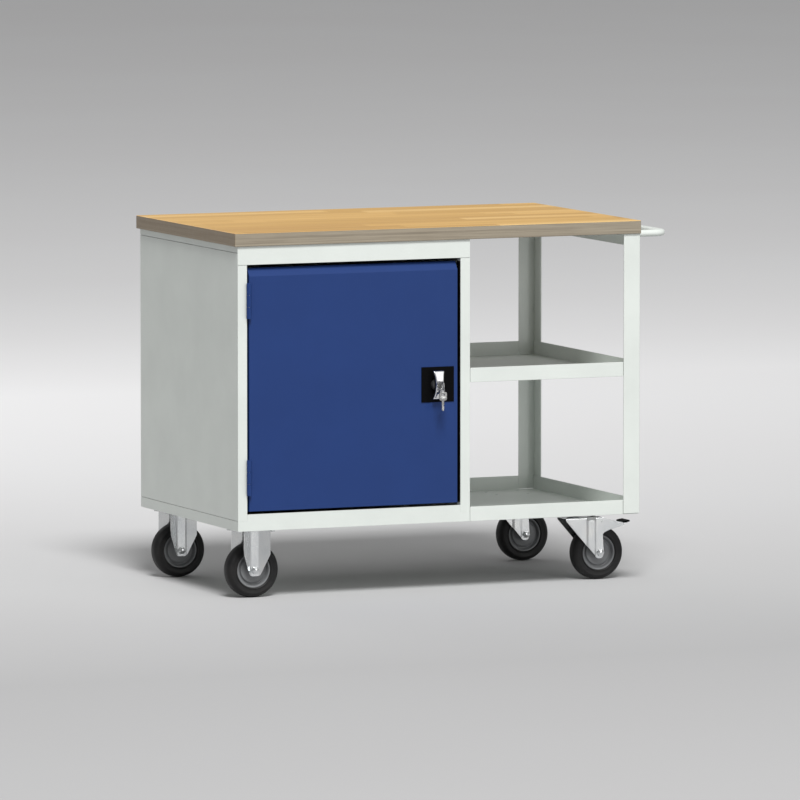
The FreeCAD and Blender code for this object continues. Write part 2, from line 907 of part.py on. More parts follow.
def make_push_handle():
    """A U of tube: two arms, two bends and the grip."""
    start = "top_length - leg_gauge + flange_gauge"
    middle = "handle_reach - tube_radius"
    arm = f"{middle} - handle_bend - ({start})"
    pieces = [
        rod("handle_arm_front", "x", (start, "handle_front", "handle_height"), "tube_radius", arm),
        rod("handle_arm_rear", "x", (start, "handle_rear", "handle_height"), "tube_radius", arm),
        rod(
            "handle_grip",
            "y",
            (middle, "handle_front + handle_bend", "handle_height"),
            "tube_radius",
            "handle_rear - handle_front - 2 * handle_bend",
        ),
    ]
    bends = (
        ("front", "handle_front + handle_bend", -90),
        ("rear", "handle_rear - handle_bend", 0),
    )
    for name, back, turn in bends:
        bend = doc.addObject("Part::Torus", f"handle_bend_{name}")
        bind(bend, "Radius1", "handle_bend")
        bind(bend, "Radius2", "tube_radius")
        bend.Angle3 = 90
        bend.Placement = FreeCAD.Placement(FreeCAD.Vector(), FreeCAD.Rotation(FreeCAD.Vector(0, 0, 1), turn))
        place(bend, f"{middle} - handle_bend", back, "handle_height")
        pieces.append(bend)
    node(fused("handle_tube", pieces), "push_handle")


def make_handle_flanges():
    """Plates at the roots of the arms, each with two screws into the end rail."""
    flanges = []
    screws = []
    face = "top_length - leg_gauge"
    low = "bench_height - top_thickness - 1 - flange_height"
    for name, back in (("front", "handle_front"), ("rear", "handle_rear")):
        flanges.append(
            block(
                f"flange_{name}",
                (face, f"{back} - flange_width / 2", low),
                ("flange_gauge", "flange_width", "flange_height"),
            )
        )
        for i, offset in enumerate(("-20", "+20")):
            spot = (f"{face} + flange_gauge", f"{back} {offset}", f"{low} + flange_height / 2")
            screws.append(rod(f"flange_screw_{name}_{i}", "x", spot, "5", "3"))
    node(group("flanges", flanges), "handle_flanges")
    node(group("flange_screws", screws), "handle_screws")


# ---------------------------------------------------------------- castors


def make_wheel_centre(label, across, back):
    """A moulded wheel centre: a rim, a dished web and a hub, bored for the axle."""
    body = new_body(label, across, back, "wheel_radius")
    sketch = sketch_on(body, "XY")
    half_rim = "(tyre_width / 2 - 3)"
    draw_polygon(
        sketch,
        [
            ("axle_radius + running_gap", "-hub_width / 2"),
            ("hub_radius", "-hub_width / 2"),
            ("hub_radius + 2", f"-{half_rim} + 6"),
            ("hub_face_radius - 2", f"-{half_rim} + 5"),
            ("hub_face_radius", f"-{half_rim} + 9"),
            ("rim_radius - 4", f"-{half_rim} + 9"),
            ("rim_radius - 3", f"-{half_rim}"),
            ("rim_radius", f"-{half_rim}"),
            ("rim_radius", half_rim),
            ("rim_radius - 3", half_rim),
            ("rim_radius - 4", f"{half_rim} - 9"),
            ("hub_face_radius", f"{half_rim} - 9"),
            ("hub_face_radius - 2", f"{half_rim} - 5"),
            ("hub_radius + 2", f"{half_rim} - 6"),
            ("hub_radius", "hub_width / 2"),
            ("axle_radius + running_gap", "hub_width / 2"),
        ],
    )
    revolve(body, sketch)
    node(body, label)


def make_tyre(label, across, back):
    """A solid rubber tyre with rounded shoulders."""
    body = new_body(label, across, back, "wheel_radius")
    sketch = sketch_on(body, "XY")
    draw_rectangle(sketch, ("rim_radius", "-tyre_width / 2"), ("wheel_radius", "tyre_width / 2"))
    revolve(body, sketch)
    tread = number("wheel_radius")
    soften(
        body,
        "tyre_shoulder",
        lambda edge: isinstance(edge.Curve, Part.Circle) and abs(edge.Curve.Radius - tread) < 0.01,
    )
    node(body, label)


def make_axle(prefix, across, back):
    """A bolt through the cheeks and the wheel, and its nut behind."""
    half = "(fork_gap / 2 + cheek_gauge)"
    start = (across, f"{back} - {half}", "wheel_radius")
    under_head = (across, f"{back} - {half} - bolt_head_height", "wheel_radius")
    head = rod(f"{prefix}_bolt_head", "y", under_head, "bolt_head_radius", "bolt_head_height")
    shank = rod(f"{prefix}_bolt_shank", "y", start, "axle_radius", f"2 * {half} + axle_nut_height + 1")
    node(fused(f"{prefix}_bolt", [head, shank]), f"{prefix}_axle_bolt")
    rear = (across, f"{back} + {half}", "wheel_radius")
    axle_nut = nut(f"{prefix}_nut", "y", rear, "bolt_head_radius", "axle_nut_height", "axle_radius")
    node(axle_nut, f"{prefix}_axle_nut")


def plate_holes(sketch):
    """The four bolt holes of a castor's plate, about the sketch's origin."""
    for across in ("-plate_hole_across / 2", "plate_hole_across / 2"):
        for back in ("-plate_hole_back / 2", "plate_hole_back / 2"):
            draw_circle(sketch, (across, back), "plate_hole_radius")


def make_plate(body):
    """Pads a castor's plate under the pan, drilled for its bolts. The body's origin is at the floor."""
    outline = sketch_on(body, "XY", "castor_height - plate_gauge")
    draw_rectangle(
        outline,
        ("-plate_across / 2", "-plate_back / 2"),
        ("plate_across / 2", "plate_back / 2"),
    )
    plate_holes(outline)
    pad(body, outline, "plate_gauge")


def make_fixed_castor(prefix, across, back):
    """A fixed castor: one pressed housing whose two legs are channels that taper to the axle."""
    body = new_body(f"{prefix}_housing", across, back, "0")
    head = "fixed_head_width / 2"
    toe = "fixed_toe_width / 2"
    crown = "castor_height - plate_gauge"
    bottom = "wheel_radius - fork_toe_drop"
    inside = "fork_gap / 2"
    legs = sketch_on(body, "XY", bottom)
    for side in ("-", ""):
        # a flat middle with a wing flared outwards on each side
        draw_polygon(
            legs,
            [
                (f"-{head}", f"{side}({inside} + fixed_flare)"),
                (f"-{toe} + 0.5", f"{side}({inside})"),
                (f"{toe} - 0.5", f"{side}({inside})"),
                (head, f"{side}({inside} + fixed_flare)"),
                (head, f"{side}({inside} + fixed_flare + cheek_gauge)"),
                (f"{toe} - 0.5", f"{side}({inside} + cheek_gauge)"),
                (f"-{toe} + 0.5", f"{side}({inside} + cheek_gauge)"),
                (f"-{head}", f"{side}({inside} + fixed_flare + cheek_gauge)"),
            ],
        )
    pad(body, legs, f"{crown} - ({bottom})")
    taper = sketch_on(body, "XZ")
    for side in ("-", ""):
        draw_polygon(
            taper,
            [
                (f"{side}({toe})", f"{bottom} - 1"),
                (f"{side}({toe})", bottom),
                (f"{side}({head})", "fixed_taper_top"),
                (f"{side}({head} + 1)", "fixed_taper_top"),
                (f"{side}({head} + 1)", f"{bottom} - 1"),
            ],
        )
    pocket(body, taper, "200", symmetric=True)
    make_plate(body)
    axle = sketch_on(body, "XZ")
    draw_circle(axle, ("0", "wheel_radius"), "axle_radius")
    pocket(body, axle, "200", symmetric=True)
    node(body, f"{prefix}_housing")


def make_swivel_castor(prefix, across, back):
    """A swivel castor: a plate with a raceway, a fork that trails the pivot, and a brake pedal."""
    pivot = f"{across} - swivel_trail"
    head_top = "castor_height - plate_gauge - raceway_height"
    plate = new_body(f"{prefix}_plate", pivot, back, "0")
    make_plate(plate)
    race = sketch_on(plate, "XY", "castor_height - plate_gauge")
    draw_circle(race, ("0", "0"), "raceway_radius")
    pad(plate, race, "raceway_height - 0.4", backwards=True)
    kingpin = sketch_on(plate, "XY", f"{head_top} + 0.4")
    draw_circle(kingpin, ("0", "0"), "6")
    pad(plate, kingpin, "6", backwards=True)
    node(plate, f"{prefix}_plate")

    fork = new_body(f"{prefix}_fork", pivot, back, "0")
    bottom = "wheel_radius - fork_toe_drop"
    cheeks = sketch_on(fork, "XZ")
    draw_polygon(
        cheeks,
        [
            ("-56", head_top),
            ("swivel_trail - 9", bottom),
            ("swivel_trail + 6", bottom),
            ("swivel_trail + 9", "wheel_radius"),
            ("swivel_trail + 6", "wheel_radius + 45"),
            ("swivel_trail + 27", "wheel_radius + 53"),
            ("swivel_trail + 62", "wheel_radius + 61"),
            ("swivel_trail + 58", "wheel_radius + 67"),
            ("swivel_trail + 18", "wheel_radius + 77"),
            ("swivel_trail - 2", head_top),
        ],
    )
    pad(fork, cheeks, "fork_gap + 2 * cheek_gauge", symmetric=True)
    ribs = sketch_on(fork, "XZ")
    draw_polygon(
        ribs,
        [
            ("-rib_width / 2 + 15", f"{bottom} + 36"),
            ("rib_width / 2 + 15", f"{bottom} + 14"),
            ("rib_width / 2 + 15", f"{head_top} - 4"),
            ("-rib_width / 2 + 15", f"{head_top} - 4"),
        ],
    )
    pad(fork, ribs, "fork_gap + 2 * cheek_gauge + 2 * rib_proud", symmetric=True)
    space = sketch_on(fork, "YZ")
    draw_rectangle(space, ("-fork_gap / 2", "0"), ("fork_gap / 2", f"{head_top} - cheek_gauge"))
    pocket(fork, space, "400", symmetric=True)
    # the crown between the cheeks ends short of the brake pedal
    crown = sketch_on(fork, "XZ")
    draw_rectangle(crown, ("swivel_trail - 6", "wheel_radius + 50"), ("swivel_trail + 80", "castor_height"))
    pocket(fork, crown, "fork_gap", symmetric=True)
    pivot_hole = sketch_on(fork, "XY", f"{head_top} - 10")
    draw_circle(pivot_hole, ("0", "0"), "6 + running_gap")
    pocket(fork, pivot_hole, "30", backwards=True)
    pins = sketch_on(fork, "XZ")
    draw_circle(pins, ("swivel_trail", "wheel_radius"), "axle_radius")
    brake_pin = ("swivel_trail + brake_offset", "wheel_radius + brake_rise")
    draw_circle(pins, brake_pin, "brake_pin_radius + running_gap")
    pocket(fork, pins, "200", symmetric=True)
    node(fork, f"{prefix}_fork")
    make_brake_pedal(prefix, across, back)


def make_brake_pedal(prefix, across, back):
    """A brake pedal between the cheeks, on a pin through both, with a rubber toe."""
    pivot = (f"{across} + brake_offset", back, "wheel_radius + brake_rise")
    body = new_body(f"{prefix}_brake_pedal", *pivot)
    profile = sketch_on(body, "XZ")
    draw_polygon(
        profile,
        [
            ("-4", "-3"),
            ("0", "-4"),
            ("36", "-5.5"),
            ("52", "-6.5"),
            ("54", "-4.5"),
            ("52", "-3.5"),
            ("36", "-2.5"),
            ("4", "4"),
            ("-4", "4"),
        ],
    )
    pad(body, profile, "pedal_width", symmetric=True)
    pin = sketch_on(body, "XZ")
    draw_circle(pin, ("0", "0"), "brake_pin_radius")
    pad(body, pin, "fork_gap + 2 * cheek_gauge + 2", symmetric=True)
    node(body, f"{prefix}_brake_pedal")
    toe = new_body(f"{prefix}_brake_toe", *pivot)
    rubber = sketch_on(toe, "XZ")
    draw_polygon(
        rubber,
        [("52", "-3.5"), ("54", "-4.5"), ("64", "-4"), ("72", "-1.5"), ("70", "2"), ("56", "0")],
    )
    pad(toe, rubber, "pedal_width + 6", symmetric=True)
    node(toe, f"{prefix}_brake_toe")


def make_castor_bolts(plates):
    """Bolts up through each castor's plate, their ends flush with the threaded pan above."""
    bolts = []
    for n, (across, back) in enumerate(plates):
        for i, step in enumerate(("-plate_hole_across / 2", "+plate_hole_across / 2")):
            for k, side in enumerate(("-plate_hole_back / 2", "+plate_hole_back / 2")):
                spot = (f"{across} {step}", f"{back} {side}")
                name = f"castor_bolt_{n}_{i}{k}"
                under = "castor_height - plate_gauge"
                head = rod(f"{name}_head", "z", (*spot, f"{under} - 5"), "6.5", "5")
                shank = rod(f"{name}_shank", "z", (*spot, under), "4", "plate_gauge + gauge")
                bolts.append(fused(name, [head, shank]))
    node(group("castor_bolts", bolts), "castor_bolts")


# ---------------------------------------------------------------- the whole bench

make_worktop()
make_worktop_screws()
make_side("cabinet_left_side", "cab_left", "", "left_stile")
make_side("cabinet_right_side", "cab_right", "-", "right_stile")
make_base()
make_top_pan()
make_back()
make_inner_shelf()
make_door_panel()
make_door_stiffener()
make_hinges()
make_lock_plate()
make_lock_housing()
make_turn_handle()
make_keys(make_lock_cylinder())
make_latch_cam()
make_tray("middle_tray", "mid_tray_bottom", relieved=False)
make_tray("bottom_tray", "castor_height", relieved=True)
make_leg("front_leg", "cab_front - 0.5", "")
make_leg("rear_leg", "cab_back + 0.5", "-")
make_end_rail()
make_push_handle()
make_handle_flanges()

castor_plates = []
for row, fixed_back, swivel_back in (
    ("front", "fixed_front", "swivel_front"),
    ("rear", "castor_rear", "castor_rear"),
):
    left = f"{row}_left"
    right = f"{row}_right"
    make_fixed_castor(left, "fixed_across", fixed_back)
    make_swivel_castor(right, "swivel_across", swivel_back)
    spots = ((left, "fixed_across", fixed_back), (right, "swivel_across", swivel_back))
    for prefix, wheel_across, wheel_back in spots:
        make_wheel_centre(f"{prefix}_wheel", wheel_across, wheel_back)
        make_tyre(f"{prefix}_tyre", wheel_across, wheel_back)
        make_axle(prefix, wheel_across, wheel_back)
    castor_plates.append(("fixed_across", fixed_back))
    castor_plates.append(("swivel_across - swivel_trail", swivel_back))
make_castor_bolts(castor_plates)

# ---------------------------------------------------------------- check and write

doc.recompute()
for thing in doc.Objects:
    if {"Invalid", "Error"} & set(thing.State):
        raise RuntimeError(f"{thing.Label} failed: {thing.State}")
os.makedirs("parts", exist_ok=True)
for thing in made:
    shape = thing.Shape
    if shape.isNull() or not shape.isValid():
        raise RuntimeError(f"{thing.Label} has no valid shape")
    shape.exportStep(f"parts/{thing.Label}.step")
print(f"{len(made)} sub-parts written")
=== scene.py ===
import json
import math

import bmesh
import bpy
from mathutils import Matrix, Vector


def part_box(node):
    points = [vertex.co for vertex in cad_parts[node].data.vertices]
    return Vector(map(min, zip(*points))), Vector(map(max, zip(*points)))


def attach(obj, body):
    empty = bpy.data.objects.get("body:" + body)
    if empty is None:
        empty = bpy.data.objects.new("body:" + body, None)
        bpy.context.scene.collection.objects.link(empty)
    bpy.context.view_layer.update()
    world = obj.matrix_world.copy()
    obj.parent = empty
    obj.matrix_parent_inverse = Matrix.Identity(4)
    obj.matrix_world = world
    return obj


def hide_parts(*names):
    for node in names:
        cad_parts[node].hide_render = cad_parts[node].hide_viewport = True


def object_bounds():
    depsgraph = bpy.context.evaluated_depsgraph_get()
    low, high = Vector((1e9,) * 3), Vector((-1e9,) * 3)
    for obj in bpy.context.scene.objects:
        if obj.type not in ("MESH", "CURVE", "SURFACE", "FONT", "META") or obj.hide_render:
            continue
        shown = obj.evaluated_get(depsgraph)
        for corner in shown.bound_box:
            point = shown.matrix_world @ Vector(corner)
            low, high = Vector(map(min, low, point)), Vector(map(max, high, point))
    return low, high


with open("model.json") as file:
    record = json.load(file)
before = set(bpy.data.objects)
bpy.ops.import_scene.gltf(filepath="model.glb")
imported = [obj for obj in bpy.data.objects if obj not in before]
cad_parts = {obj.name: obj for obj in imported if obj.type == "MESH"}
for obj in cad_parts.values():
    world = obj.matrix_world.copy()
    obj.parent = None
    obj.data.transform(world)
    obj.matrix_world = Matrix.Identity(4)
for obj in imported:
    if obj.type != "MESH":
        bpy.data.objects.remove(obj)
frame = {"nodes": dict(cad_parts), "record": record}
cad_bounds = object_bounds()

MM = 0.001
SHEET = 1.5 * MM

# ---------------------------------------------------------------- camera

VIEW_AZIMUTH = 23.23
VIEW_ELEVATION = 5.41
VIEW_DISTANCE = 21.495
LENS = 421.96
SENSOR_WIDTH = 36
# from the middle of the whole box, push handle and lock included
AIM_FROM_CENTRE = Vector((-0.0265, 0.0215, -0.0046))


def middle_of(bounds):
    """The middle of a pair of corners."""
    low, high = (Vector(corner) for corner in bounds)
    return (low + high) / 2


def make_camera():
    """A long lens, looking along the view's azimuth and down by its elevation."""
    data = bpy.data.cameras.new("camera")
    data.lens = LENS
    data.sensor_width = SENSOR_WIDTH
    data.clip_end = 200
    camera = bpy.data.objects.new("camera", data)
    bpy.context.scene.collection.objects.link(camera)
    azimuth = math.radians(VIEW_AZIMUTH)
    elevation = math.radians(VIEW_ELEVATION)
    forward = Vector(
        (
            math.sin(azimuth) * math.cos(elevation),
            math.cos(azimuth) * math.cos(elevation),
            -math.sin(elevation),
        )
    )
    aim = middle_of(cad_bounds) + AIM_FROM_CENTRE
    camera.location = aim - forward * VIEW_DISTANCE
    camera.rotation_euler = forward.to_track_quat("-Z", "Y").to_euler()
    bpy.context.scene.camera = camera


# ---------------------------------------------------------------- materials


class Shader:
    """A principled material and short calls for the nodes that feed it."""

    def __init__(self, name, **settings):
        self.material = bpy.data.materials.new(name)
        self.material.use_nodes = True
        self.tree = self.material.node_tree
        self.surface = self.tree.nodes["Principled BSDF"]
        for socket, value in settings.items():
            self.surface.inputs[socket.replace("_", " ")].default_value = value
        self.place = self.node("ShaderNodeTexCoord").outputs["Object"]

    def node(self, kind, **properties):
        """A new node with some of its properties set."""
        node = self.tree.nodes.new(kind)
        for name, value in properties.items():
            setattr(node, name, value)
        return node

    def feed(self, socket, value):
        """Links an output to a socket, or sets the socket to a constant."""
        if isinstance(value, bpy.types.NodeSocket):
            self.tree.links.new(value, socket)
        else:
            socket.default_value = value

    def stretched(self, factors, source=None):
        """The piece's own coordinates, scaled along each axis."""
        node = self.node("ShaderNodeVectorMath", operation="MULTIPLY")
        self.feed(node.inputs[0], source or self.place)
        node.inputs[1].default_value = factors
        return node.outputs[0]

    def noise(self, scale, detail=3.0, roughness=0.55, where=None, distortion=0.0):
        """Fractal noise of 0 to 1, over the piece's own coordinates or others."""
        node = self.node("ShaderNodeTexNoise")
        self.feed(node.inputs["Vector"], where or self.place)
        node.inputs["Scale"].default_value = scale
        node.inputs["Detail"].default_value = detail
        node.inputs["Roughness"].default_value = roughness
        node.inputs["Distortion"].default_value = distortion
        return node.outputs[0]

    def ramp(self, factor, stops):
        """A colour ramp, from (position, colour) pairs."""
        node = self.node("ShaderNodeValToRGB")
        self.feed(node.inputs[0], factor)
        elements = node.color_ramp.elements
        while len(elements) < len(stops):
            elements.new(0.5)
        for element, (position, colour) in zip(elements, stops):
            element.position = position
            element.color = (*colour, 1)
        return node.outputs[0]

    def span(self, factor, low, high, from_low, from_high):
        """Maps a number from a range to low and high, held at its ends."""
        node = self.node("ShaderNodeMapRange")
        self.feed(node.inputs["Value"], factor)
        node.inputs["From Min"].default_value = from_low
        node.inputs["From Max"].default_value = from_high
        self.feed(node.inputs["To Min"], low)
        self.feed(node.inputs["To Max"], high)
        return node.outputs["Result"]

    def maths(self, operation, a, b=0.0, c=0.0):
        """One sum, with outputs or constants as its terms."""
        node = self.node("ShaderNodeMath", operation=operation)
        for socket, value in zip(node.inputs, (a, b, c)):
            self.feed(socket, value)
        return node.outputs[0]

    def mix(self, factor, a, b):
        """Colour a where the factor is 0, and colour b where it is 1."""
        node = self.node("ShaderNodeMix", data_type="RGBA")
        self.feed(node.inputs["Factor"], factor)
        for name, value in (("A", a), ("B", b)):
            socket = [s for s in node.inputs if s.name == name and s.type == "RGBA"][0]
            linked = isinstance(value, bpy.types.NodeSocket)
            self.feed(socket, value if linked else (*value, 1))
        return [s for s in node.outputs if s.type == "RGBA"][0]

    def part(self, axis):
        """One coordinate of the piece, in metres."""
        node = self.node("ShaderNodeSeparateXYZ")
        self.feed(node.inputs[0], self.place)
        return node.outputs[axis]

    def colour(self, value):
        """Sets the surface's colour."""
        self.feed(self.surface.inputs["Base Color"], value)

    def roughness(self, value):
        """Sets the surface's roughness."""
        self.feed(self.surface.inputs["Roughness"], value)

    def bump(self, height, depth, strength=1.0):
        """Bump of a real depth in metres from a height of 0 to 1."""
        node = self.node("ShaderNodeBump")
        node.inputs["Strength"].default_value = strength
        node.inputs["Distance"].default_value = depth
        self.feed(node.inputs["Height"], height)
        self.tree.links.new(node.outputs[0], self.surface.inputs["Normal"])


def scaled(colour, factor):
    """A colour made lighter or darker."""
    return tuple(min(1.0, c * factor) for c in colour)


def powder_coat(name, colour, roughness, sheen=0.5):
    """Powder coat: a fine orange peel, faint mottling and slightly uneven gloss."""
    shader = Shader(name, IOR=1.5, Specular_IOR_Level=sheen)
    mottle = shader.noise(9.0, 4.0)
    tones = [(0.3, scaled(colour, 0.965)), (0.7, scaled(colour, 1.03))]
    shader.colour(shader.ramp(mottle, tones))
    speckle = shader.noise(420.0, 2.0)
    shader.roughness(shader.span(speckle, roughness - 0.05, roughness + 0.05, 0.3, 0.7))
    peel = shader.noise(700.0, 2.0, 0.5)
    shader.bump(peel, 0.04 * MM)
    return shader.material


STAVE_WIDTH = 0.048
STAVE_LENGTH = 0.62
# how unlike each other the starts of neighbouring staves may be
STAVE_STAGGER = 7.0
TOP_TONES = [
    (0.2, (0.60, 0.32, 0.062)),
    (0.42, (0.70, 0.40, 0.084)),
    (0.6, (0.83, 0.49, 0.125)),
    (0.8, (0.93, 0.61, 0.215)),
]
GRAIN_LINE = (0.50, 0.27, 0.070)
GRAIN_FLECK = (0.40, 0.21, 0.058)
EDGE_TONES = [
    (0.3, (0.165, 0.135, 0.095)),
    (0.5, (0.265, 0.225, 0.165)),
    (0.72, (0.35, 0.30, 0.225)),
]
# the colour painted on the board's left end as shade
LEFT_END_SHADE = (0.20, 0.13, 0.065)


def beech_board(name, top_height, left_end):
    """Lacquered beech staves on top, dull grey-brown edges with grain along them, and painted shade
    on the left end.
    """
    shader = Shader(name, IOR=1.5, Coat_Weight=0.15, Coat_Roughness=0.3)
    # staves run along x, each with a tint and a start of its own
    stave = shader.maths("FLOOR", shader.maths("DIVIDE", shader.part(1), STAVE_WIDTH))
    start = shader.node("ShaderNodeTexWhiteNoise", noise_dimensions="1D")
    shader.feed(start.inputs["W"], stave)
    stagger = shader.maths("MULTIPLY", start.outputs[0], STAVE_STAGGER)
    along = shader.maths("ADD", shader.part(0), stagger)
    length = shader.maths("FLOOR", shader.maths("DIVIDE", along, STAVE_LENGTH))
    both = shader.node("ShaderNodeCombineXYZ")
    shader.feed(both.inputs[0], length)
    shader.feed(both.inputs[1], stave)
    tint = shader.node("ShaderNodeTexWhiteNoise", noise_dimensions="3D")
    shader.feed(tint.inputs["Vector"], both.outputs[0])
    shift = shader.node("ShaderNodeVectorMath", operation="ADD")
    shader.feed(shift.inputs[0], shader.place)
    shader.feed(shift.inputs[1], both.outputs[0])
    fine = shader.stretched((4.0, 90.0, 90.0), shift.outputs[0])
    grain = shader.noise(1.0, 6.0, 0.62, fine, 0.35)
    wide = shader.noise(1.0, 3.0, 0.5, shader.stretched((1.3, 16.0, 16.0), shift.outputs[0]))
    fleck = shader.noise(1.0, 2.0, 0.6, shader.stretched((140.0, 900.0, 900.0)))
    figure = shader.maths("MULTIPLY", wide, 0.55)
    tone = shader.maths("MULTIPLY_ADD", tint.outputs[0], 0.45, figure)
    body = shader.ramp(tone, TOP_TONES)
    lined = shader.mix(shader.span(grain, 0.0, 0.5, 0.42, 0.72), body, GRAIN_LINE)
    top = shader.mix(shader.span(fleck, 0.0, 0.35, 0.6, 0.75), lined, GRAIN_FLECK)
    # the edge band: thin layers with streaks along them
    streak = shader.noise(1.0, 5.0, 0.6, shader.stretched((7.0, 7.0, 260.0)))
    layer = shader.noise(1.0, 1.0, 0.5, shader.stretched((0.8, 0.8, 420.0)))
    streaks = shader.maths("MULTIPLY", streak, 0.55)
    edge = shader.ramp(shader.maths("MULTIPLY_ADD", layer, 0.45, streaks), EDGE_TONES)
    is_top = shader.span(shader.part(2), 0.0, 1.0, top_height - 0.0011, top_height - 0.0004)
    # the board's left end, its end grain, is painted darker and browner than the other edges:
    # painted shade on that end only
    left_end_shade = shader.span(shader.part(0), 0.45, 0.0, left_end + 0.0003, left_end + 0.0012)
    rim = shader.mix(left_end_shade, edge, LEFT_END_SHADE)
    shader.colour(shader.mix(is_top, rim, top))
    gloss = shader.span(grain, 0.30, 0.42, 0.3, 0.7)
    # the edges are duller than the lacquered top
    dull = shader.maths("ADD", gloss, 0.14)
    shader.roughness(shader.maths("MULTIPLY_ADD", is_top, -0.14, dull))
    relief = shader.maths("ADD", grain, shader.maths("MULTIPLY", streak, 0.6))
    shader.bump(relief, 0.12 * MM, 0.6)
    return shader.material


def zinc_plate(name):
    """Bright zinc: pressed steel with drawing marks and a faint warm and cool spangle."""
    shader = Shader(name, Metallic=1.0)
    clouds = shader.noise(20.0, 3.0, 0.5)
    tones = [(0.3, (0.64, 0.66, 0.67)), (0.55, (0.73, 0.74, 0.74)), (0.75, (0.79, 0.78, 0.75))]
    shader.colour(shader.ramp(clouds, tones))
    marks = shader.noise(1.0, 3.0, 0.6, shader.stretched((700.0, 700.0, 50.0)))
    drawn = shader.span(marks, 0.16, 0.23, 0.3, 0.7)
    shader.roughness(shader.maths("MULTIPLY_ADD", clouds, 0.08, drawn))
    shader.bump(marks, 0.008 * MM)
    return shader.material


def bright_metal(name, colour, low, high):
    """Polished or worn bright metal, its gloss broken by fine handling marks."""
    shader = Shader(name, Metallic=1.0)
    wear = shader.noise(160.0, 4.0, 0.65)
    shader.colour(shader.ramp(wear, [(0.35, scaled(colour, 0.9)), (0.65, colour)]))
    shader.roughness(shader.span(wear, low, high, 0.35, 0.7))
    shader.bump(shader.noise(1400.0, 2.0), 0.008 * MM)
    return shader.material


def moulded_plastic(name, colour, roughness, sheen=0.5):
    """Moulded plastic with a spark-eroded texture and faint flow tones."""
    shader = Shader(name, IOR=1.49, Specular_IOR_Level=sheen)
    flow = shader.noise(32.0, 3.0)
    tones = [(0.3, scaled(colour, 0.9)), (0.7, scaled(colour, 1.1))]
    shader.colour(shader.ramp(flow, tones))
    grit = shader.noise(1500.0, 2.0)
    shader.roughness(shader.span(grit, roughness - 0.06, roughness + 0.06, 0.3, 0.7))
    shader.bump(grit, 0.03 * MM)
    return shader.material


def tyre_rubber(name):
    """Black rubber, a little dusty, with a fine dull bloom."""
    shader = Shader(name, IOR=1.5, Specular_IOR_Level=0.3)
    bloom = shader.noise(45.0, 5.0, 0.65)
    tones = [(0.35, (0.006, 0.006, 0.0065)), (0.75, (0.016, 0.015, 0.0145))]
    shader.colour(shader.ramp(bloom, tones))
    shader.roughness(shader.span(bloom, 0.42, 0.62, 0.3, 0.7))
    shader.bump(shader.noise(900.0, 3.0), 0.05 * MM)
    return shader.material


def floor_paper(name):
    """Plain pale paper for the studio floor, with painted shade: darker in front of the object than
    behind it.
    """
    shader = Shader(name, Roughness=0.9, Specular_IOR_Level=0.1)
    soft = shader.noise(0.6, 2.0)
    paper = shader.ramp(soft, [(0.3, (0.90, 0.895, 0.90)), (0.7, (0.91, 0.91, 0.915))])
    # painted shade: the paper's colour is scaled from 0.45 at y = -1.5 m up to full at y = 4.5 m
    painted_shade = shader.span(shader.part(1), 0.45, 1.0, -1.5, 4.5)
    shader.colour(shader.mix(painted_shade, (0.0, 0.0, 0.0), paper))
    return shader.material


BLACK = (0.003, 0.003, 0.0035)
BOARD_LOW, BOARD_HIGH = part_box("worktop")
LOOKS = {
    "beech": beech_board("beech_board", BOARD_HIGH[2], BOARD_LOW[0]),
    "light_grey_paint": powder_coat("light_grey_powder_coat", (0.655, 0.690, 0.655), 0.42),
    "blue_paint": powder_coat("blue_powder_coat", (0.013, 0.039, 0.155), 0.48, 0.2),
    "zinc_steel": zinc_plate("bright_zinc"),
    "black_plastic": moulded_plastic("black_moulded_plastic", BLACK, 0.5, 0.04),
    "bright_chrome": bright_metal("polished_chrome", (0.86, 0.86, 0.87), 0.05, 0.14),
    "key_steel": bright_metal("nickel_plate", (0.46, 0.46, 0.45), 0.22, 0.40),
    "wheel_grey_plastic": moulded_plastic("grey_moulded_plastic", (0.185, 0.19, 0.195), 0.38),
    "tyre_rubber": tyre_rubber("black_rubber"),
}
SLOT_OF = {part["node"]: part["material_slot"] for part in frame["record"]["subparts"]}
BODIES = frame["record"]["behaviour"]["bodies"]
BODY_OF = {node: body for body, nodes in BODIES.items() for node in nodes}


# ---------------------------------------------------------------- mesh helpers


def add_piece(name, mesh, node, replaced=None, look=None):
    """Puts a mesh in the scene with a CAD node's body and finish, in the node's place.

    The names in replaced, if there are any, are hidden instead of the node.
    """
    piece = bpy.data.objects.new(name, mesh)
    bpy.context.scene.collection.objects.link(piece)
    slot = SLOT_OF[node]
    mesh.materials.clear()
    mesh.materials.append(look or LOOKS[slot])
    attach(piece, BODY_OF[node])
    if replaced is None:
        replaced = [node]
    if replaced:
        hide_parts(*replaced)
    return piece


def to_mesh(bm, name, smooth_angle=35.0):
    """A finished mesh, smooth but for edges sharper than an angle in degrees."""
    bmesh.ops.recalc_face_normals(bm, faces=bm.faces)
    mesh = bpy.data.meshes.new(name)
    bm.to_mesh(mesh)
    bm.free()
    mesh.shade_smooth()
    mesh.set_sharp_from_angle(angle=math.radians(smooth_angle))
    return mesh


def clean_solid(node):
    """A copy of the CAD node's solid as flat faces with one corner at each place."""
    bm = bmesh.new()
    bm.from_mesh(frame["nodes"][node].data)
    bmesh.ops.remove_doubles(bm, verts=bm.verts, dist=2e-6)
    bmesh.ops.dissolve_limit(
        bm, angle_limit=math.radians(0.6), verts=bm.verts, edges=bm.edges, delimit={"NORMAL"}
    )
    return bm


def bevel(bm, edges, width, segments):
    """Rounds the edges given, if there are any."""
    if edges:
        bmesh.ops.bevel(
            bm,
            geom=edges,
            offset=width,
            offset_type="OFFSET",
            segments=segments,
            profile=0.5,
            affect="EDGES",
            clamp_overlap=True,
        )


def sharp_edges(bm, angle):
    """The edges whose two faces turn by more than an angle."""
    return [edge for edge in bm.edges if edge.is_manifold and edge.calc_face_angle(0) > angle]


def breadth(face, edge):
    """How far a face reaches from one of its edges, roughly."""
    return face.calc_area() / max(edge.calc_length(), 1e-9)


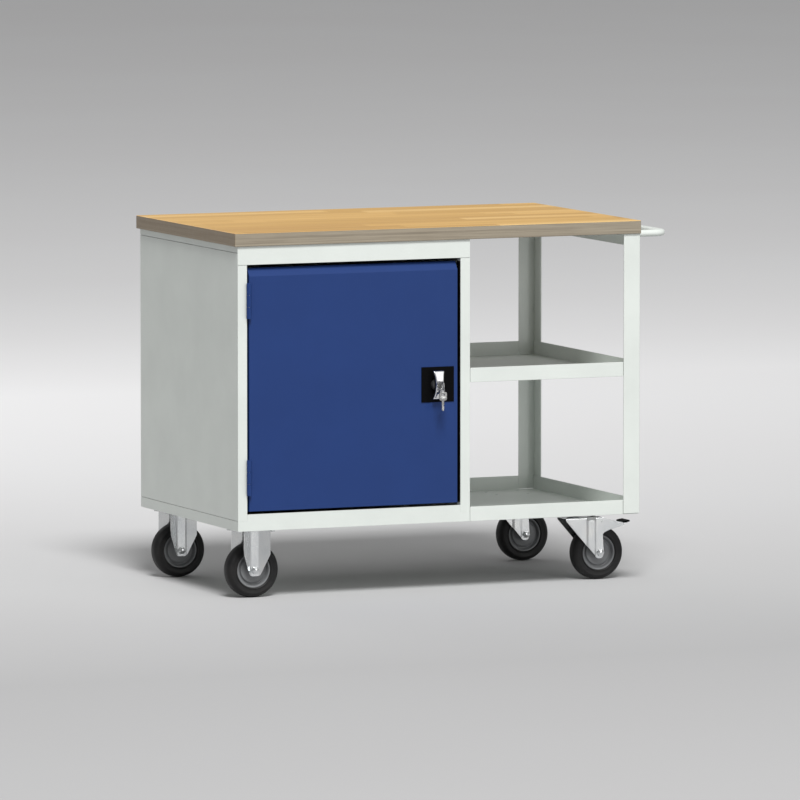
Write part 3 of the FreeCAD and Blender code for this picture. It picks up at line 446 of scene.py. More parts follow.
RIM_BREAK = 0.35 * MM
SHORTEST_FOLD = 20 * MM
FOLD_ANGLE = 0.5
RIM_ANGLE = math.radians(50)
SOLID_EDGE_ANGLE = math.radians(35)


def eased(node, fold=2.2 * MM, fitted=None):
    """A folded sheet piece: rounded along its folds, with its cut rims just broken.

    A function given as fitted changes the piece's solid first.
    """
    bm = clean_solid(node)
    if fitted:
        fitted(bm)
    folds = [
        edge
        for edge in bm.edges
        if edge.is_manifold
        and edge.is_convex
        and edge.calc_face_angle(0) > FOLD_ANGLE
        and edge.calc_length() > SHORTEST_FOLD
        and min(breadth(face, edge) for face in edge.link_faces) > 2.2 * SHEET
    ]
    bevel(bm, folds, fold, 4)
    bevel(bm, sharp_edges(bm, RIM_ANGLE), RIM_BREAK, 1)
    weighted(add_piece(node + "_folded", to_mesh(bm, node + "_folded"), node))


def softened(node, width, segments=3):
    """A solid piece with all its sharp edges rounded."""
    bm = clean_solid(node)
    bevel(bm, sharp_edges(bm, SOLID_EDGE_ANGLE), width, segments)
    weighted(add_piece(node + "_rounded", to_mesh(bm, node + "_rounded", 30.0), node))


def weighted(piece):
    """Lets the large flat faces set the shading, so only the roundings look round."""
    modifier = piece.modifiers.new("normals", "WEIGHTED_NORMAL")
    modifier.keep_sharp = True
    modifier.weight = 60


def centre_of(node):
    """The middle of a CAD node's box."""
    low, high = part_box(node)
    return (Vector(low) + Vector(high)) / 2


def ramped(distance, ease):
    """Zero below zero, the distance above it, and a smooth turn between."""
    if distance <= -ease:
        return 0.0
    if distance >= ease:
        return distance
    return (distance + ease) ** 2 / (4 * ease)


def in_metres(*pairs):
    """Pairs of millimetres as pairs of metres."""
    return [(first * MM, second * MM) for first, second in pairs]


def rounded(points, radii, pieces=5):
    """A closed outline with each corner turned into an arc of its own radius."""
    out = []
    count = len(points)
    for i, radius in enumerate(radii):
        corner = Vector(points[i])
        back = Vector(points[i - 1]) - corner
        ahead = Vector(points[(i + 1) % count]) - corner
        half = back.angle(ahead) / 2
        reach = min(radius / math.tan(half), 0.49 * back.length, 0.49 * ahead.length)
        radius = reach * math.tan(half)
        if radius < 1e-6:
            out.append(tuple(corner))
            continue
        back.normalize()
        ahead.normalize()
        hub = corner + (back + ahead).normalized() * (radius / math.sin(half))
        first = corner + back * reach - hub
        last = corner + ahead * reach - hub
        sweep = math.pi - 2 * half
        for k in range(pieces + 1):
            angle = sweep * k / pieces
            arm = (first * math.sin(sweep - angle) + last * math.sin(angle)) / math.sin(sweep)
            out.append(tuple(hub + arm))
    return out


def ring(radius, middle=(0.0, 0.0), count=24):
    """The points of a circle."""
    return [
        (
            middle[0] + radius * math.cos(math.tau * i / count),
            middle[1] + radius * math.sin(math.tau * i / count),
        )
        for i in range(count)
    ]


FRONTWARD = Matrix.Rotation(math.pi / 2, 4, "X")
BACKWARD = Matrix.Rotation(-math.pi / 2, 4, "X")
RIGHTWARD = Matrix.Rotation(math.pi / 2, 4, "Y")
DOWNWARD = Matrix.Rotation(math.pi, 4, "X")


def at(point, turn=Matrix()):
    """A place: a turn, then a move to a point."""
    return Matrix.Translation(point) @ turn


def turned(bm, profile, place, segments=64, closed=True):
    """Adds a turned solid about the place's own z, from pairs of a radius and a height."""
    rings = []
    for radius, height in profile:
        if radius < 1e-7:
            rings.append([bm.verts.new(place @ Vector((0, 0, height)))])
        else:
            circle = ring(radius, count=segments)
            rings.append([bm.verts.new(place @ Vector((x, y, height))) for x, y in circle])
    pairs = list(zip(rings, rings[1:]))
    if closed:
        pairs.append((rings[-1], rings[0]))
    for low, high in pairs:
        for i in range(segments):
            j = (i + 1) % segments
            loop = [low[i % len(low)], low[j % len(low)], high[j % len(high)], high[i % len(high)]]
            corners = list(dict.fromkeys(loop))
            if len(corners) > 2:
                bm.faces.new(corners)


def lofted(bm, sections):
    """Joins rings of as many points each into a skin, with flat ends."""
    rings = [[bm.verts.new(point) for point in section] for section in sections]
    for low, high in zip(rings, rings[1:]):
        for i in range(len(low)):
            j = (i + 1) % len(low)
            bm.faces.new((low[i], low[j], high[j], high[i]))
    bm.faces.new(rings[0])
    bm.faces.new(rings[-1])


def hexagon(bm, radius, low, high, place):
    """Adds a hexagon head or nut with a chamfered top."""
    chamfer = 0.12 * radius
    levels = ((radius, low), (radius, high - 0.6 * chamfer), (radius - chamfer, high))
    lofted(
        bm,
        [
            [place @ Vector((x, y, height)) for x, y in ring(size, count=6)]
            for size, height in levels
        ],
    )


def threaded(radius, low, high):
    """The profile of a screw's end, its thread as plain grooves."""
    pitch = 1.25 * MM
    profile = [(0.0, low), (radius, low)]
    height = low + pitch
    while height < high - pitch:
        profile += [(radius, height), (radius - 0.45 * pitch, height + 0.5 * pitch)]
        height += pitch
    return profile + [(radius, high - 0.6 * pitch), (radius - 0.5 * pitch, high), (0.0, high)]


def stamped(bm, outline, holes, thickness, place, edge=0.3 * MM):
    """Adds a plate with holes, centred on its own xy plane, with rims broken by an edge."""
    curve = bpy.data.curves.new("stamping", "CURVE")
    curve.dimensions = "2D"
    curve.fill_mode = "BOTH"
    curve.extrude = thickness / 2 - edge
    curve.bevel_depth = edge
    curve.bevel_resolution = 1
    curve.offset = -edge
    for loop in (outline, *holes):
        spline = curve.splines.new("POLY")
        spline.points.add(len(loop) - 1)
        for point, (x, y) in zip(spline.points, loop):
            point.co = (x, y, 0, 1)
        spline.use_cyclic_u = True
    holder = bpy.data.objects.new("stamping", curve)
    mesh = bpy.data.meshes.new_from_object(holder)
    bpy.data.objects.remove(holder)
    bpy.data.curves.remove(curve)
    mesh.transform(place)
    bm.from_mesh(mesh)
    bpy.data.meshes.remove(mesh)
    bmesh.ops.remove_doubles(bm, verts=bm.verts, dist=1e-6)


def everything_in(bm):
    """All the corners, edges and faces, as bisect_plane takes them."""
    return bm.verts[:] + bm.edges[:] + bm.faces[:]


def pressed(bm, outline, columns, rows, depth, gauge, place):
    """Adds a sheet of an outline in x and z, pressed outwards by a depth that varies over it.

    It is cut along the columns and rows, so that it bends there.
    """
    sheet = bmesh.new()
    sheet.faces.new([sheet.verts.new((x, 0, z)) for x, z in outline])
    for axis, values in ((Vector((1, 0, 0)), columns), (Vector((0, 0, 1)), rows)):
        for value in values:
            bmesh.ops.bisect_plane(
                sheet, geom=everything_in(sheet), plane_co=axis * value, plane_no=axis
            )
    inner = sheet.verts[:]
    grown = bmesh.ops.extrude_face_region(sheet, geom=sheet.faces[:], use_keep_orig=True)
    outer = [item for item in grown["geom"] if isinstance(item, bmesh.types.BMVert)]
    for vertices, extra in ((inner, 0.0), (outer, gauge)):
        for vertex in vertices:
            vertex.co.y = -depth(vertex.co.x, vertex.co.z) - extra
    bmesh.ops.recalc_face_normals(sheet, faces=sheet.faces)
    bevel(sheet, sharp_edges(sheet, math.radians(60)), 0.5 * MM, 2)
    mesh = bpy.data.meshes.new("sheet")
    sheet.to_mesh(mesh)
    sheet.free()
    mesh.transform(place)
    bm.from_mesh(mesh)
    bpy.data.meshes.remove(mesh)


def steps(low, high, step):
    """Evenly spaced numbers from low to high."""
    count = max(1, round((high - low) / step))
    return [low + (high - low) * i / count for i in range(count + 1)]


def tube(bm, path, radius, segments):
    """Adds a round tube along a path of points in a level plane."""
    sections = []
    for i, point in enumerate(path):
        ahead = path[min(i + 1, len(path) - 1)] - path[max(i - 1, 0)]
        side = ahead.cross(Vector((0, 0, 1))).normalized()
        circle = ring(radius, count=segments)
        sections.append([point + side * x + Vector((0, 0, y)) for x, y in circle])
    lofted(bm, sections)


# ---------------------------------------------------------------- stage and light


FLOOR_HALF = 60.0
LIGHT_AIM = Vector((0, 0, 0.45))
WORLD_LIGHT = 0.30


def make_stage():
    """A level floor that reaches past every view's edge."""
    bm = bmesh.new()
    bmesh.ops.create_grid(bm, x_segments=2, y_segments=2, size=FLOOR_HALF)
    mesh = to_mesh(bm, "floor")
    floor = bpy.data.objects.new("floor", mesh)
    mesh.materials.append(floor_paper("pale_floor_paper"))
    bpy.context.scene.collection.objects.link(floor)


def make_light(name, where, size, watts):
    """A round white lamp, aimed at the object."""
    data = bpy.data.lights.new(name, "AREA")
    data.shape = "DISK"
    data.size = size
    data.energy = watts
    light = bpy.data.objects.new(name, data)
    bpy.context.scene.collection.objects.link(light)
    light.location = where
    light.rotation_euler = (LIGHT_AIM - Vector(where)).to_track_quat("-Z", "Y").to_euler()


def make_lights():
    """A key from high up in front, two weaker lamps at the right, one behind, and a dim world."""
    make_light("key", (-3.2, -12.0, 16.0), 7.0, 4150)
    make_light("soft_box", (3.2, -6.9, 4.4), 6.0, 80)
    make_light("low_lamp", (4.0, -9.4, 0.95), 1.8, 55)
    make_light("rear", (-0.5, 4.8, 4.0), 3.0, 35)
    world = bpy.data.worlds.new("studio")
    world.use_nodes = True
    background = world.node_tree.nodes["Background"]
    background.inputs["Color"].default_value = (1, 1, 1, 1)
    background.inputs["Strength"].default_value = WORLD_LIGHT
    bpy.context.scene.world = world
    bpy.context.scene.view_settings.view_transform = "Standard"


# ---------------------------------------------------------------- bench and door

make_camera()
make_stage()
make_lights()

for name, obj in frame["nodes"].items():
    obj.data.materials.clear()
    obj.data.materials.append(LOOKS[SLOT_OF[name]])


TRAY_SEAM = 0.8 * MM
CLOSE = 0.1 * MM


def fitted_tray(bm):
    """Draws a tray's ends back from its neighbours, so the joints show as fine lines."""
    left = min(vertex.co.x for vertex in bm.verts)
    front = min(vertex.co.y for vertex in bm.verts)
    right = max(vertex.co.x for vertex in bm.verts if vertex.co.y < front + CLOSE)
    for vertex in bm.verts:
        if vertex.co.x < left + CLOSE:
            vertex.co.x += TRAY_SEAM
        elif abs(vertex.co.x - right) < CLOSE and vertex.co.y < front + 2 * MM:
            vertex.co.x -= TRAY_SEAM


def split_at_walls(bm):
    """Cuts a pan in line with its side walls, so that its rim is made of plain strips."""
    places = [vertex.co.x for vertex in bm.verts]
    for value in (min(places) + SHEET, max(places) - SHEET):
        bmesh.ops.bisect_plane(
            bm, geom=everything_in(bm), dist=1e-6, plane_co=(value, 0, 0), plane_no=(1, 0, 0)
        )


softened("worktop", 0.6 * MM, 2)
eased("door_panel", fitted=split_at_walls)
eased("inner_shelf", fitted=split_at_walls)
eased("middle_tray", fitted=fitted_tray)
eased("bottom_tray", fitted=fitted_tray)
for name in (
    "cabinet_left_side",
    "cabinet_right_side",
    "cabinet_base",
    "cabinet_top",
    "front_leg",
    "rear_leg",
    "end_top_rail",
):
    eased(name)

# ---------------------------------------------------------------- castors

TYRE_LOW, TYRE_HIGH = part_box("front_left_tyre")
WHEEL_RADIUS = (TYRE_HIGH[2] - TYRE_LOW[2]) / 2
TYRE_HALF = (TYRE_HIGH[1] - TYRE_LOW[1]) / 2
RIM_RADIUS = 40 * MM
PLATE_GAUGE = 3 * MM
PLATE_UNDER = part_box("cabinet_base")[0][2] - PLATE_GAUGE
PLATE_HALF = Vector((52.5, 40)) * MM
# the plates' holes and bolts, from the plate's middle
BOLT_X, BOLT_Y = 40 * MM, 30 * MM
FORK_HALF_GAP = 22.5 * MM
CHEEK_GAUGE = 2.5 * MM
# the legs and forks end this high, 13 mm below the axle
TOE_BOTTOM = WHEEL_RADIUS - 13 * MM
# how far the swivelling wheels' axles stand beside their kingpins, in mm
TRAIL = 38
SQUARE = [(-1, -1), (1, -1), (1, 1), (-1, 1)]


def mirrored(profile):
    """A profile and its mirror image in height, as one closed outline."""
    return profile + [(radius, -height) for radius, height in reversed(profile)]


def make_tyre(prefix):
    """A tyre with a bead round its rim, flat walls and a round tread."""
    half = TYRE_HALF
    profile = [
        (RIM_RADIUS, half - 2.2 * MM),
        (RIM_RADIUS + 1.4 * MM, half - 0.5 * MM),
        (RIM_RADIUS + 2.6 * MM, half),
        (RIM_RADIUS + 3.6 * MM, half - 0.3 * MM),
        (RIM_RADIUS + 4.2 * MM, half - 1.0 * MM),
        (WHEEL_RADIUS - 12.0 * MM, half - 1.1 * MM),
        (WHEEL_RADIUS - 10.6 * MM, half - 0.4 * MM),
        (WHEEL_RADIUS - 9.0 * MM, half - 0.35 * MM),
        (WHEEL_RADIUS - 6.4 * MM, half - 1.3 * MM),
        (WHEEL_RADIUS - 4.0 * MM, half - 3.3 * MM),
        (WHEEL_RADIUS - 2.0 * MM, half - 6.0 * MM),
        (WHEEL_RADIUS - 0.7 * MM, half - 9.4 * MM),
        (WHEEL_RADIUS - 0.1 * MM, half - 13.5 * MM),
        (WHEEL_RADIUS, half - 18.0 * MM),
    ]
    bm = bmesh.new()
    turned(bm, mirrored(profile), at(centre_of(f"{prefix}_tyre"), FRONTWARD), 128)
    add_piece(f"{prefix}_tyre_moulded", to_mesh(bm, f"{prefix}_tyre"), f"{prefix}_tyre")


def make_wheel_centre(prefix):
    """A dished centre with a hub, a web, a groove inside its rim and a bore for the axle."""
    outline = in_metres(
        (5.1, 21.5), (12.0, 21.5), (13.2, 11.5), (28.5, 10.8), (30.5, 6.0),
        (34.5, 5.6), (37.0, 15.6), (40.0, 16.2), (40.0, 0.0), (5.1, 0.0),
    )
    radii = [r * MM for r in (0.3, 1.2, 3.5, 1.8, 2.0, 2.2, 0.8, 0.5, 0, 0)]
    top = [point for point in rounded(outline, radii) if point[1] > 0]
    bm = bmesh.new()
    turned(bm, mirrored(top), at(centre_of(f"{prefix}_wheel"), FRONTWARD), 96)
    add_piece(f"{prefix}_wheel_moulded", to_mesh(bm, f"{prefix}_wheel", 50.0), f"{prefix}_wheel")


def make_axle(prefix):
    """A hexagon bolt with its washer, and the nut on its threaded end."""
    middle = centre_of(f"{prefix}_wheel")
    face = FORK_HALF_GAP + CHEEK_GAUGE
    head = face + 1.2 * MM
    washer = [(0, face), (8.9 * MM, face), (9.1 * MM, face + 0.3 * MM), (8.9 * MM, head), (0, head)]
    bm = bmesh.new()
    place = at(middle, FRONTWARD)
    turned(bm, washer, place, 48, closed=False)
    hexagon(bm, 8.2 * MM, head, face + 5.0 * MM, place)
    end = at(middle, BACKWARD)
    turned(bm, threaded(5 * MM, -face, face + 7.0 * MM), end, 32, closed=False)
    add_piece(f"{prefix}_axle_bolt_hex", to_mesh(bm, f"{prefix}_bolt"), f"{prefix}_axle_bolt")
    bm = bmesh.new()
    hexagon(bm, 8.5 * MM, face, face + 6.0 * MM, end)
    add_piece(f"{prefix}_axle_nut_hex", to_mesh(bm, f"{prefix}_nut"), f"{prefix}_axle_nut")


def plate_with_holes(bm, middle):
    """Adds a castor's mounting plate, a little thinner than the CAD's so that it stays clear."""
    outline = rounded([(x * PLATE_HALF.x, y * PLATE_HALF.y) for x, y in SQUARE], [7 * MM] * 4)
    holes = [ring(4.2 * MM, (x * BOLT_X, y * BOLT_Y)) for x, y in SQUARE]
    place = at((middle.x, middle.y, PLATE_UNDER + PLATE_GAUGE / 2))
    stamped(bm, outline, holes, 2.9 * MM, place)


def bend_in(z, top, radius):
    """How far a leg has turned inwards at a height near its top bend."""
    rise = max(0.0, z - (top - radius))
    return radius - math.sqrt(max(radius**2 - min(rise, radius) ** 2, 0.0))


def make_fixed_housing(prefix):
    """A pressed housing: two legs, each a channel with flared wings, on a drilled plate."""
    node = f"{prefix}_housing"
    middle = centre_of(node)
    bm = bmesh.new()
    plate_with_holes(bm, middle)
    # half widths at the head and the toe, and the height where the taper ends
    head, toe, taper = 32 * MM, 12 * MM, 99 * MM
    right = [(toe, TOE_BOTTOM), (head, taper), (head, PLATE_UNDER)]
    left = [(-x, z) for x, z in reversed(right)]
    outline = rounded(left[-1:] + right + left[:-1], [r * MM for r in (9, 9, 14, 0, 0, 14)], 8)
    bend = 3 * MM
    flare_slope = 14 / 20.5

    def depth(x, z):
        flare = flare_slope * ramped(abs(x) - toe, 3.5 * MM)
        return FORK_HALF_GAP + flare - bend_in(z, PLATE_UNDER, bend)

    columns = steps(-30 * MM, 30 * MM, 2 * MM)
    rows = steps(60 * MM, PLATE_UNDER - 4 * MM, 8 * MM)
    rows += steps(PLATE_UNDER - bend, PLATE_UNDER - 0.4 * MM, 0.7 * MM)
    for turn in (Matrix(), Matrix.Rotation(math.pi, 4, "Z")):
        pressed(bm, outline, columns, rows, depth, CHEEK_GAUGE, at((middle.x, middle.y, 0), turn))
    weighted(add_piece(f"{node}_pressed", to_mesh(bm, node, 40.0), node))


def make_swivel_plate(prefix):
    """The swivel head's plate with its ball race and the riveted end of its kingpin."""
    node = f"{prefix}_plate"
    middle = centre_of(node)
    bm = bmesh.new()
    plate_with_holes(bm, middle)
    under = at((middle.x, middle.y, PLATE_UNDER))
    race = in_metres(
        (0, 0), (26, 0), (30.2, -0.6), (31, -2.2), (31, -5.2),
        (30, -7.0), (26.5, -8.5), (12, -8.5), (0, -8.5),
    )
    turned(bm, race, under, 72, closed=False)
    pin = in_metres((0, -8), (5.9, -8), (5.9, -13.2), (5.0, -14.4), (0, -14.8))
    turned(bm, pin, under, 32, closed=False)
    weighted(add_piece(f"{node}_pressed", to_mesh(bm, node), node))


def make_swivel_fork(prefix):
    """A fork of two ribbed cheeks, raked to the axle, with an arm to the brake's pivot."""
    node = f"{prefix}_fork"
    pivot = centre_of(f"{prefix}_plate")
    top = PLATE_UNDER - 9 * MM
    # x and z of each corner, and the radius of its rounding, in mm
    corners = (
        (-54, top / MM, 5), (TRAIL - 8, TOE_BOTTOM / MM, 9), (TRAIL + 6, TOE_BOTTOM / MM, 9),
        (TRAIL + 9, 62.5, 10), (TRAIL + 6, 107.5, 9), (TRAIL + 27, 115.5, 14),
        (TRAIL + 62, 123.5, 4), (TRAIL + 58, 129.5, 3), (TRAIL + 18, 139.5, 12),
        (TRAIL - 2, top / MM, 5),
    )
    points = in_metres(*((x, z) for x, z, r in corners))
    outline = rounded(points, [r * MM for x, z, r in corners], 8)
    rib_middle, rib_half, rib_lift = 15 * MM, 8.5 * MM, 3.5 * MM

    def depth(x, z):
        beside = ramped(abs(x - rib_middle) - rib_half, 1.5 * MM)
        across = 1 - min(1.0, beside / (3 * MM))
        fade = min(1.0, max(0.0, (top - 3 * MM - z) / (5 * MM)))
        lift = rib_lift * across * across * (3 - 2 * across) * fade
        return FORK_HALF_GAP + lift - bend_in(z, top, 4 * MM)

    columns = steps(-48 * MM, 2 * MM, 8 * MM) + steps(3 * MM, 27 * MM, 1 * MM)
    columns += steps(30 * MM, 94 * MM, 8 * MM)
    rows = steps(56 * MM, top - 9 * MM, 10 * MM) + steps(top - 8 * MM, top - 0.5 * MM, 0.8 * MM)
    bm = bmesh.new()
    for mirror in (Matrix(), Matrix.Scale(-1, 4, (0, 1, 0))):
        place = at((pivot.x, pivot.y, 0), mirror)
        pressed(bm, outline, columns, rows, depth, CHEEK_GAUGE, place)
    crown = rounded(in_metres((-52, -21.5), (31, -21.5), (31, 21.5), (-52, 21.5)), [3 * MM] * 4)
    place = at((pivot.x, pivot.y, top - CHEEK_GAUGE / 2))
    stamped(bm, crown, [ring(6.1 * MM)], CHEEK_GAUGE, place)
    weighted(add_piece(f"{node}_pressed", to_mesh(bm, node, 40.0), node))


def make_castor_bolts():
    """Hexagon heads under the plates, with their shanks ending flush with the pan above."""
    shank = in_metres((0, -4.5), (3.6, -4.5), (4, -4.1), (4, 1), (0, 1))
    bm = bmesh.new()
    for kind in ("left_housing", "right_plate"):
        for row in ("front", "rear"):
            middle = centre_of(f"{row}_{kind}")
            for x, y in SQUARE:
                corner = (middle.x + x * BOLT_X, middle.y + y * BOLT_Y, PLATE_UNDER)
                place = at(corner, DOWNWARD)
                hexagon(bm, 6.5 * MM, 0, 5 * MM, place)
                turned(bm, shank, place, 24, closed=False)
    add_piece("castor_bolts_hex", to_mesh(bm, "castor_bolts"), "castor_bolts")


for row in ("front", "rear"):
    for side in ("left", "right"):
        make_tyre(f"{row}_{side}")
        make_wheel_centre(f"{row}_{side}")
        make_axle(f"{row}_{side}")
    make_fixed_housing(f"{row}_left")
    make_swivel_plate(f"{row}_right")
    make_swivel_fork(f"{row}_right")
    softened(f"{row}_right_brake_pedal", 0.8 * MM, 3)
    softened(f"{row}_right_brake_toe", 1.4 * MM, 3)
make_castor_bolts()

# ---------------------------------------------------------------- lock and keys

LOCK = centre_of("lock_housing")
SATIN_BLACK = (0.034, 0.034, 0.035)
# a key from its ring hole: the bow's top and end, and half the bow's and the blade's width, in mm
BOW_TOP, BOW_END = 5.8, -13.2
BOW_HALF, BLADE_HALF = 9.5, 3.2
CUT_LEVELS = (1.6, 2.7, 1.1, 2.3, 1.7)
# the key in the lock stands on edge, with its blade pointing inwards
INTO_LOCK = Matrix(((0, 0, 1, 0), (0, -1, 0, 0), (1, 0, 0, 0), (0, 0, 0, 1)))


def make_lock_boss():
    """The round housing, proud of the lock plate, with its body behind it and a bore."""
    low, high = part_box("lock_housing")
    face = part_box("lock_plate")[0][1]
    proud = face - low[1]
    rear = face - high[1]
    bore, body, boss = 5.1 * MM, 10.0 * MM, 13.0 * MM
    bm = bmesh.new()
    profile = [
        (bore, proud),
        (10.4 * MM, proud),
        (12.2 * MM, proud - 0.5 * MM),
        (12.9 * MM, proud - 1.6 * MM),
        (boss, 0.4 * MM),
        (boss, 0),
        (body, 0),
        (body, rear),
        (bore, rear),
    ]
    turned(bm, profile, at((LOCK.x, face, LOCK.z), FRONTWARD), 64)
    satin = moulded_plastic("satin_black_plastic", SATIN_BLACK, 0.36)
    add_piece("lock_boss", to_mesh(bm, "lock_boss"), "lock_housing", look=satin)


def make_turn_handle():
    """A waisted handle, hollow along its front, with a collar round the cylinder and a spindle."""
    low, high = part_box("turn_handle")
    half_long = (high[2] - low[2]) / 2
    thick = 13 * MM
    collar = 1.0 * MM
    rear = low[1] + thick
    # in mm: half the width at the waist, what the ends have more, and how far they stand back
    waist, flare, ends_back = 9.6, 4.4, 7.6
    # along the handle: a place from its middle, and how far the end's rounding has drawn in
    ends = ((1.0, 1.5), (0.988, 0.7), (0.97, 0.2), (0.95, 0.0))
    stations = [(-s, d) for s, d in ends] + [(s, 0.0) for s in steps(-0.9, 0.9, 0.08)]
    stations += [(s, d) for s, d in reversed(ends)]
    bm = bmesh.new()
    sections = []
    for s, drawn in stations:
        half_wide = (waist + flare * abs(s) ** 3 - drawn) * MM
        front = low[1] + (ends_back * s * s + drawn) * MM
        half_deep = (rear - drawn * MM - front) / 2
        corner = min(2.6 * MM, 0.8 * half_deep)
        box = [(x * half_wide, y * half_deep) for x, y in SQUARE]
        outline = rounded(box, [corner] * 4, 6)
        middle_y = front + half_deep
        level = LOCK.z + s * half_long
        sections.append([Vector((LOCK.x + x, middle_y + y, level)) for x, y in outline])
    lofted(bm, sections)
    inner = [(7.1 * MM, -3 * MM), (7.1 * MM, 0.5 * MM), (7.6 * MM, collar)]
    outer = [(9.0 * MM, collar), (9.8 * MM, 0), (9.9 * MM, -3 * MM)]
    turned(bm, inner + outer, at((LOCK.x, low[1], LOCK.z), FRONTWARD), 48)
    # the spindle starts 1 mm inside the handle
    spindle = threaded(5 * MM, 0, high[1] - low[1] - thick + 1 * MM)
    place = at((LOCK.x, low[1] + thick - 1 * MM, LOCK.z), BACKWARD)
    turned(bm, spindle, place, 32, closed=False)
    add_piece("turn_handle_cast", to_mesh(bm, "turn_handle", 40.0), "turn_handle")


def key_outline(blade, slope):
    """A flat key's outline about its ring hole, with sloping corners and a cut blade."""
    shoulder = BOW_TOP - slope
    bow = [
        (-BOW_HALF, -10),
        (-BOW_HALF, shoulder),
        (slope - BOW_HALF, BOW_TOP),
        (BOW_HALF - slope, BOW_TOP),
        (BOW_HALF, shoulder),
        (BOW_HALF, -10),
        (6.5, BOW_END),
        (BLADE_HALF, BOW_END),
    ]
    tip = BOW_END - blade
    cuts = []
    span = (blade - 4) / len(CUT_LEVELS)
    for i, level in enumerate(CUT_LEVELS):
        y = -14.6 - span * i
        cuts += [(BLADE_HALF, y), (level, y - 0.35 * span), (level, y - 0.6 * span)]
    end = [
        (BLADE_HALF, tip + 2.6),
        (0.4, tip),
        (-BLADE_HALF, tip + 2.4),
        (-BLADE_HALF, BOW_END),
        (-6.5, BOW_END),
    ]
    radii = [2.2, 2, 2, 2, 2, 2.2, 2, 1] + [0.2] * len(cuts) + [0.4, 0.8, 0.6, 1, 2]
    return rounded(in_metres(*bow, *cuts, *end), [r * MM for r in radii], 4)


def make_key(node, turn, blade, slope):
    """A key stamped from flat stock: one is in the cylinder, the other hangs from the ring."""
    low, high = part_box(node)
    middle = centre_of(node)
    bm = bmesh.new()
    if node == "key":
        hole = Vector((middle.x, low[1] + BOW_TOP * MM, middle.z))
    else:
        hole = Vector((middle.x, middle.y, high[2] - BOW_TOP * MM))
    stamped(bm, key_outline(blade, slope), [ring(3.3 * MM)], 2.0 * MM, at(hole, turn), 0.25 * MM)
    add_piece(f"{node}_cut", to_mesh(bm, node), node)


def make_key_ring():
    """A split ring of two turns of wire."""
    low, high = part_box("key_ring")
    middle = centre_of("key_ring")
    radius = (high[2] - low[2]) / 2 - 0.8 * MM
    # the ring stands at 45 degrees to the lock's face
    across = Vector((1, 1, 0)).normalized()
    away = Vector((1, -1, 0)).normalized()
    wire = ring(0.42 * MM, count=8)
    bm = bmesh.new()
    sections = []
    count = 96
    for i in range(count * 2 - 5):
        angle = math.tau * i / count + 0.6
        # the wire crosses over from one turn to the other in the middle of its length
        shift = 0.4 * MM * math.tanh((i - count) / 6)
        out = across * math.cos(angle) + Vector((0, 0, math.sin(angle)))
        hub = middle + out * radius + away * shift
        sections.append([hub + out * x + away * y for x, y in wire])
    lofted(bm, sections)
    add_piece("split_ring", to_mesh(bm, "split_ring", 60.0), "key_ring")


def make_cam_nut():
    """The nut that holds the latch cam on the spindle."""
    low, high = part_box("cam_nut")
    bm = bmesh.new()
    hexagon(bm, 8.5 * MM, 0, high[1] - low[1], at((LOCK.x, low[1], LOCK.z), BACKWARD))
    add_piece("cam_nut_hex", to_mesh(bm, "cam_nut"), "cam_nut")


make_lock_boss()
make_turn_handle()
make_key("key", INTO_LOCK, 8.5, 3.8)
make_key("spare_key", FRONTWARD, 24, 2.4)
make_key_ring()
make_cam_nut()
softened("lock_plate", 0.7 * MM, 3)
softened("lock_cylinder", 0.35 * MM, 2)
softened("latch_cam", 0.5 * MM, 2)

# ---------------------------------------------------------------- push handle and hinges


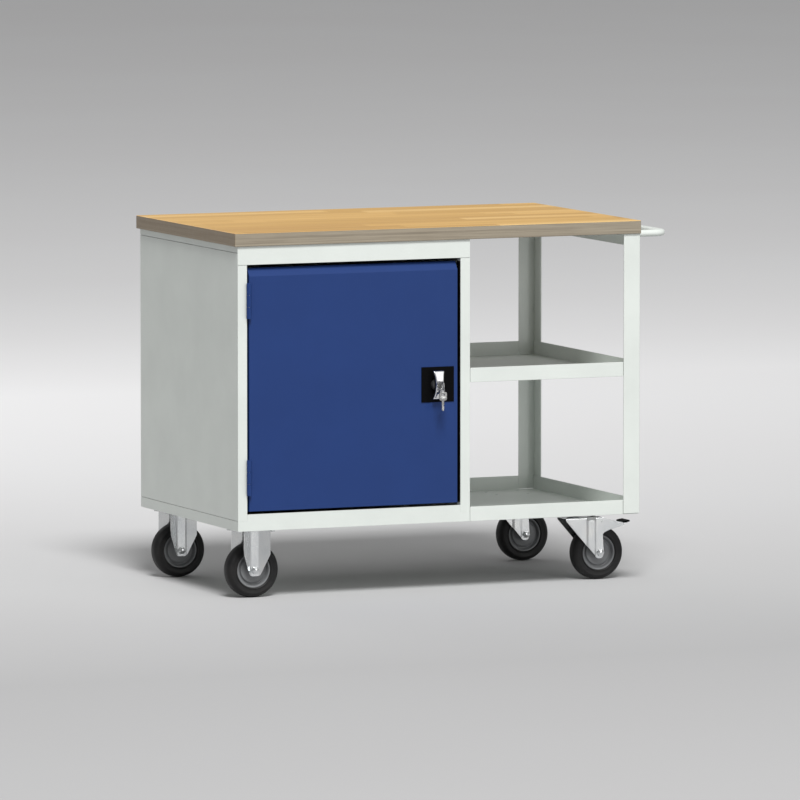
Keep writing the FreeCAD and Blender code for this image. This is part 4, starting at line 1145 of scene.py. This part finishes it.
def make_push_handle():
    """A tube bent to a U, with its arms welded to the flanges."""
    low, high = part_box("push_handle")
    radius = (high[2] - low[2]) / 2
    bend = 26 * MM
    level = (low[2] + high[2]) / 2
    hub = high[0] - radius - bend
    front, rear = low[1] + radius, high[1] - radius
    start = low[0] + 10 * MM
    path = [Vector((low[0], front, level)), Vector((start, front, level))]
    for middle, first in ((front + bend, -90), (rear - bend, 0)):
        for angle in steps(first, first + 90, 4.5):
            a = math.radians(angle)
            path.append(Vector((hub + bend * math.cos(a), middle + bend * math.sin(a), level)))
    path += [Vector((start, rear, level)), Vector((low[0], rear, level))]
    bm = bmesh.new()
    tube(bm, path, radius, 32)
    weld = [
        (radius - 0.5 * MM, 0),
        (radius + 2.4 * MM, 0),
        (radius + 1.2 * MM, 1.0 * MM),
        (radius - 0.2 * MM, 2.6 * MM),
    ]
    for y in (front, rear):
        turned(bm, weld, at((low[0], y, level), RIGHTWARD), 40)
    add_piece("push_handle_tube", to_mesh(bm, "push_handle"), "push_handle")


def make_handle_screws():
    """Domed heads, each with a round socket, in a pair on each flange."""
    low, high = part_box("handle_screws")
    head_radius = 5 * MM
    apart = 40 * MM
    dome = in_metres(
        (0, 1.2), (2.2, 1.2), (2.4, 3.0), (3.4, 2.75), (4.4, 1.9), (5.0, 0.7), (5.0, 0), (0, 0)
    )
    level = (low[2] + high[2]) / 2
    first, last = low[1] + head_radius, high[1] - head_radius
    bm = bmesh.new()
    for y in (first, first + apart, last - apart, last):
        turned(bm, dome, at((low[0], y, level), RIGHTWARD), 32, closed=False)
    add_piece("handle_screws_domed", to_mesh(bm, "handle_screws"), "handle_screws")


def make_gap_shade_strip():
    """A black strip on the right stile's inner edge: painted shade, standing in for the shade in
    the gap beside the door.
    """
    door_low, door_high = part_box("door_panel")
    corners = [vertex.co for vertex in frame["nodes"]["cabinet_right_side"].data.vertices]
    front = min(corner.y for corner in corners)
    face = min(corner.x for corner in corners if corner.y < front + 5 * MM)
    section = rounded(
        in_metres((0, 2), (0, 19.6), (-0.5, 19.6), (-0.5, 2)), [0, 0, 0.2 * MM, 0.2 * MM], 3
    )
    bm = bmesh.new()
    lofted(
        bm,
        [
            [Vector((face + x, front + y, level)) for x, y in section]
            for level in (door_low[2], door_high[2])
        ],
    )
    add_piece(
        "gap_shade_strip",
        to_mesh(bm, "gap_shade_strip"),
        "cabinet_right_side",
        replaced=[],
        # painted shade: a near-black colour put where the gap beside the door is in shade
        look=moulded_plastic("painted_gap_shade", (0.004, 0.004, 0.0045), 0.55, 0.1),
    )


make_push_handle()
make_handle_screws()
make_gap_shade_strip()
softened("handle_flanges", 0.8 * MM, 3)
softened("hinge_frame_leaves", 0.5 * MM, 2)
softened("hinge_door_leaves", 0.5 * MM, 2)
softened("shelf_clips", 0.4 * MM, 2)
eased("door_stiffener", fold=1.6 * MM)
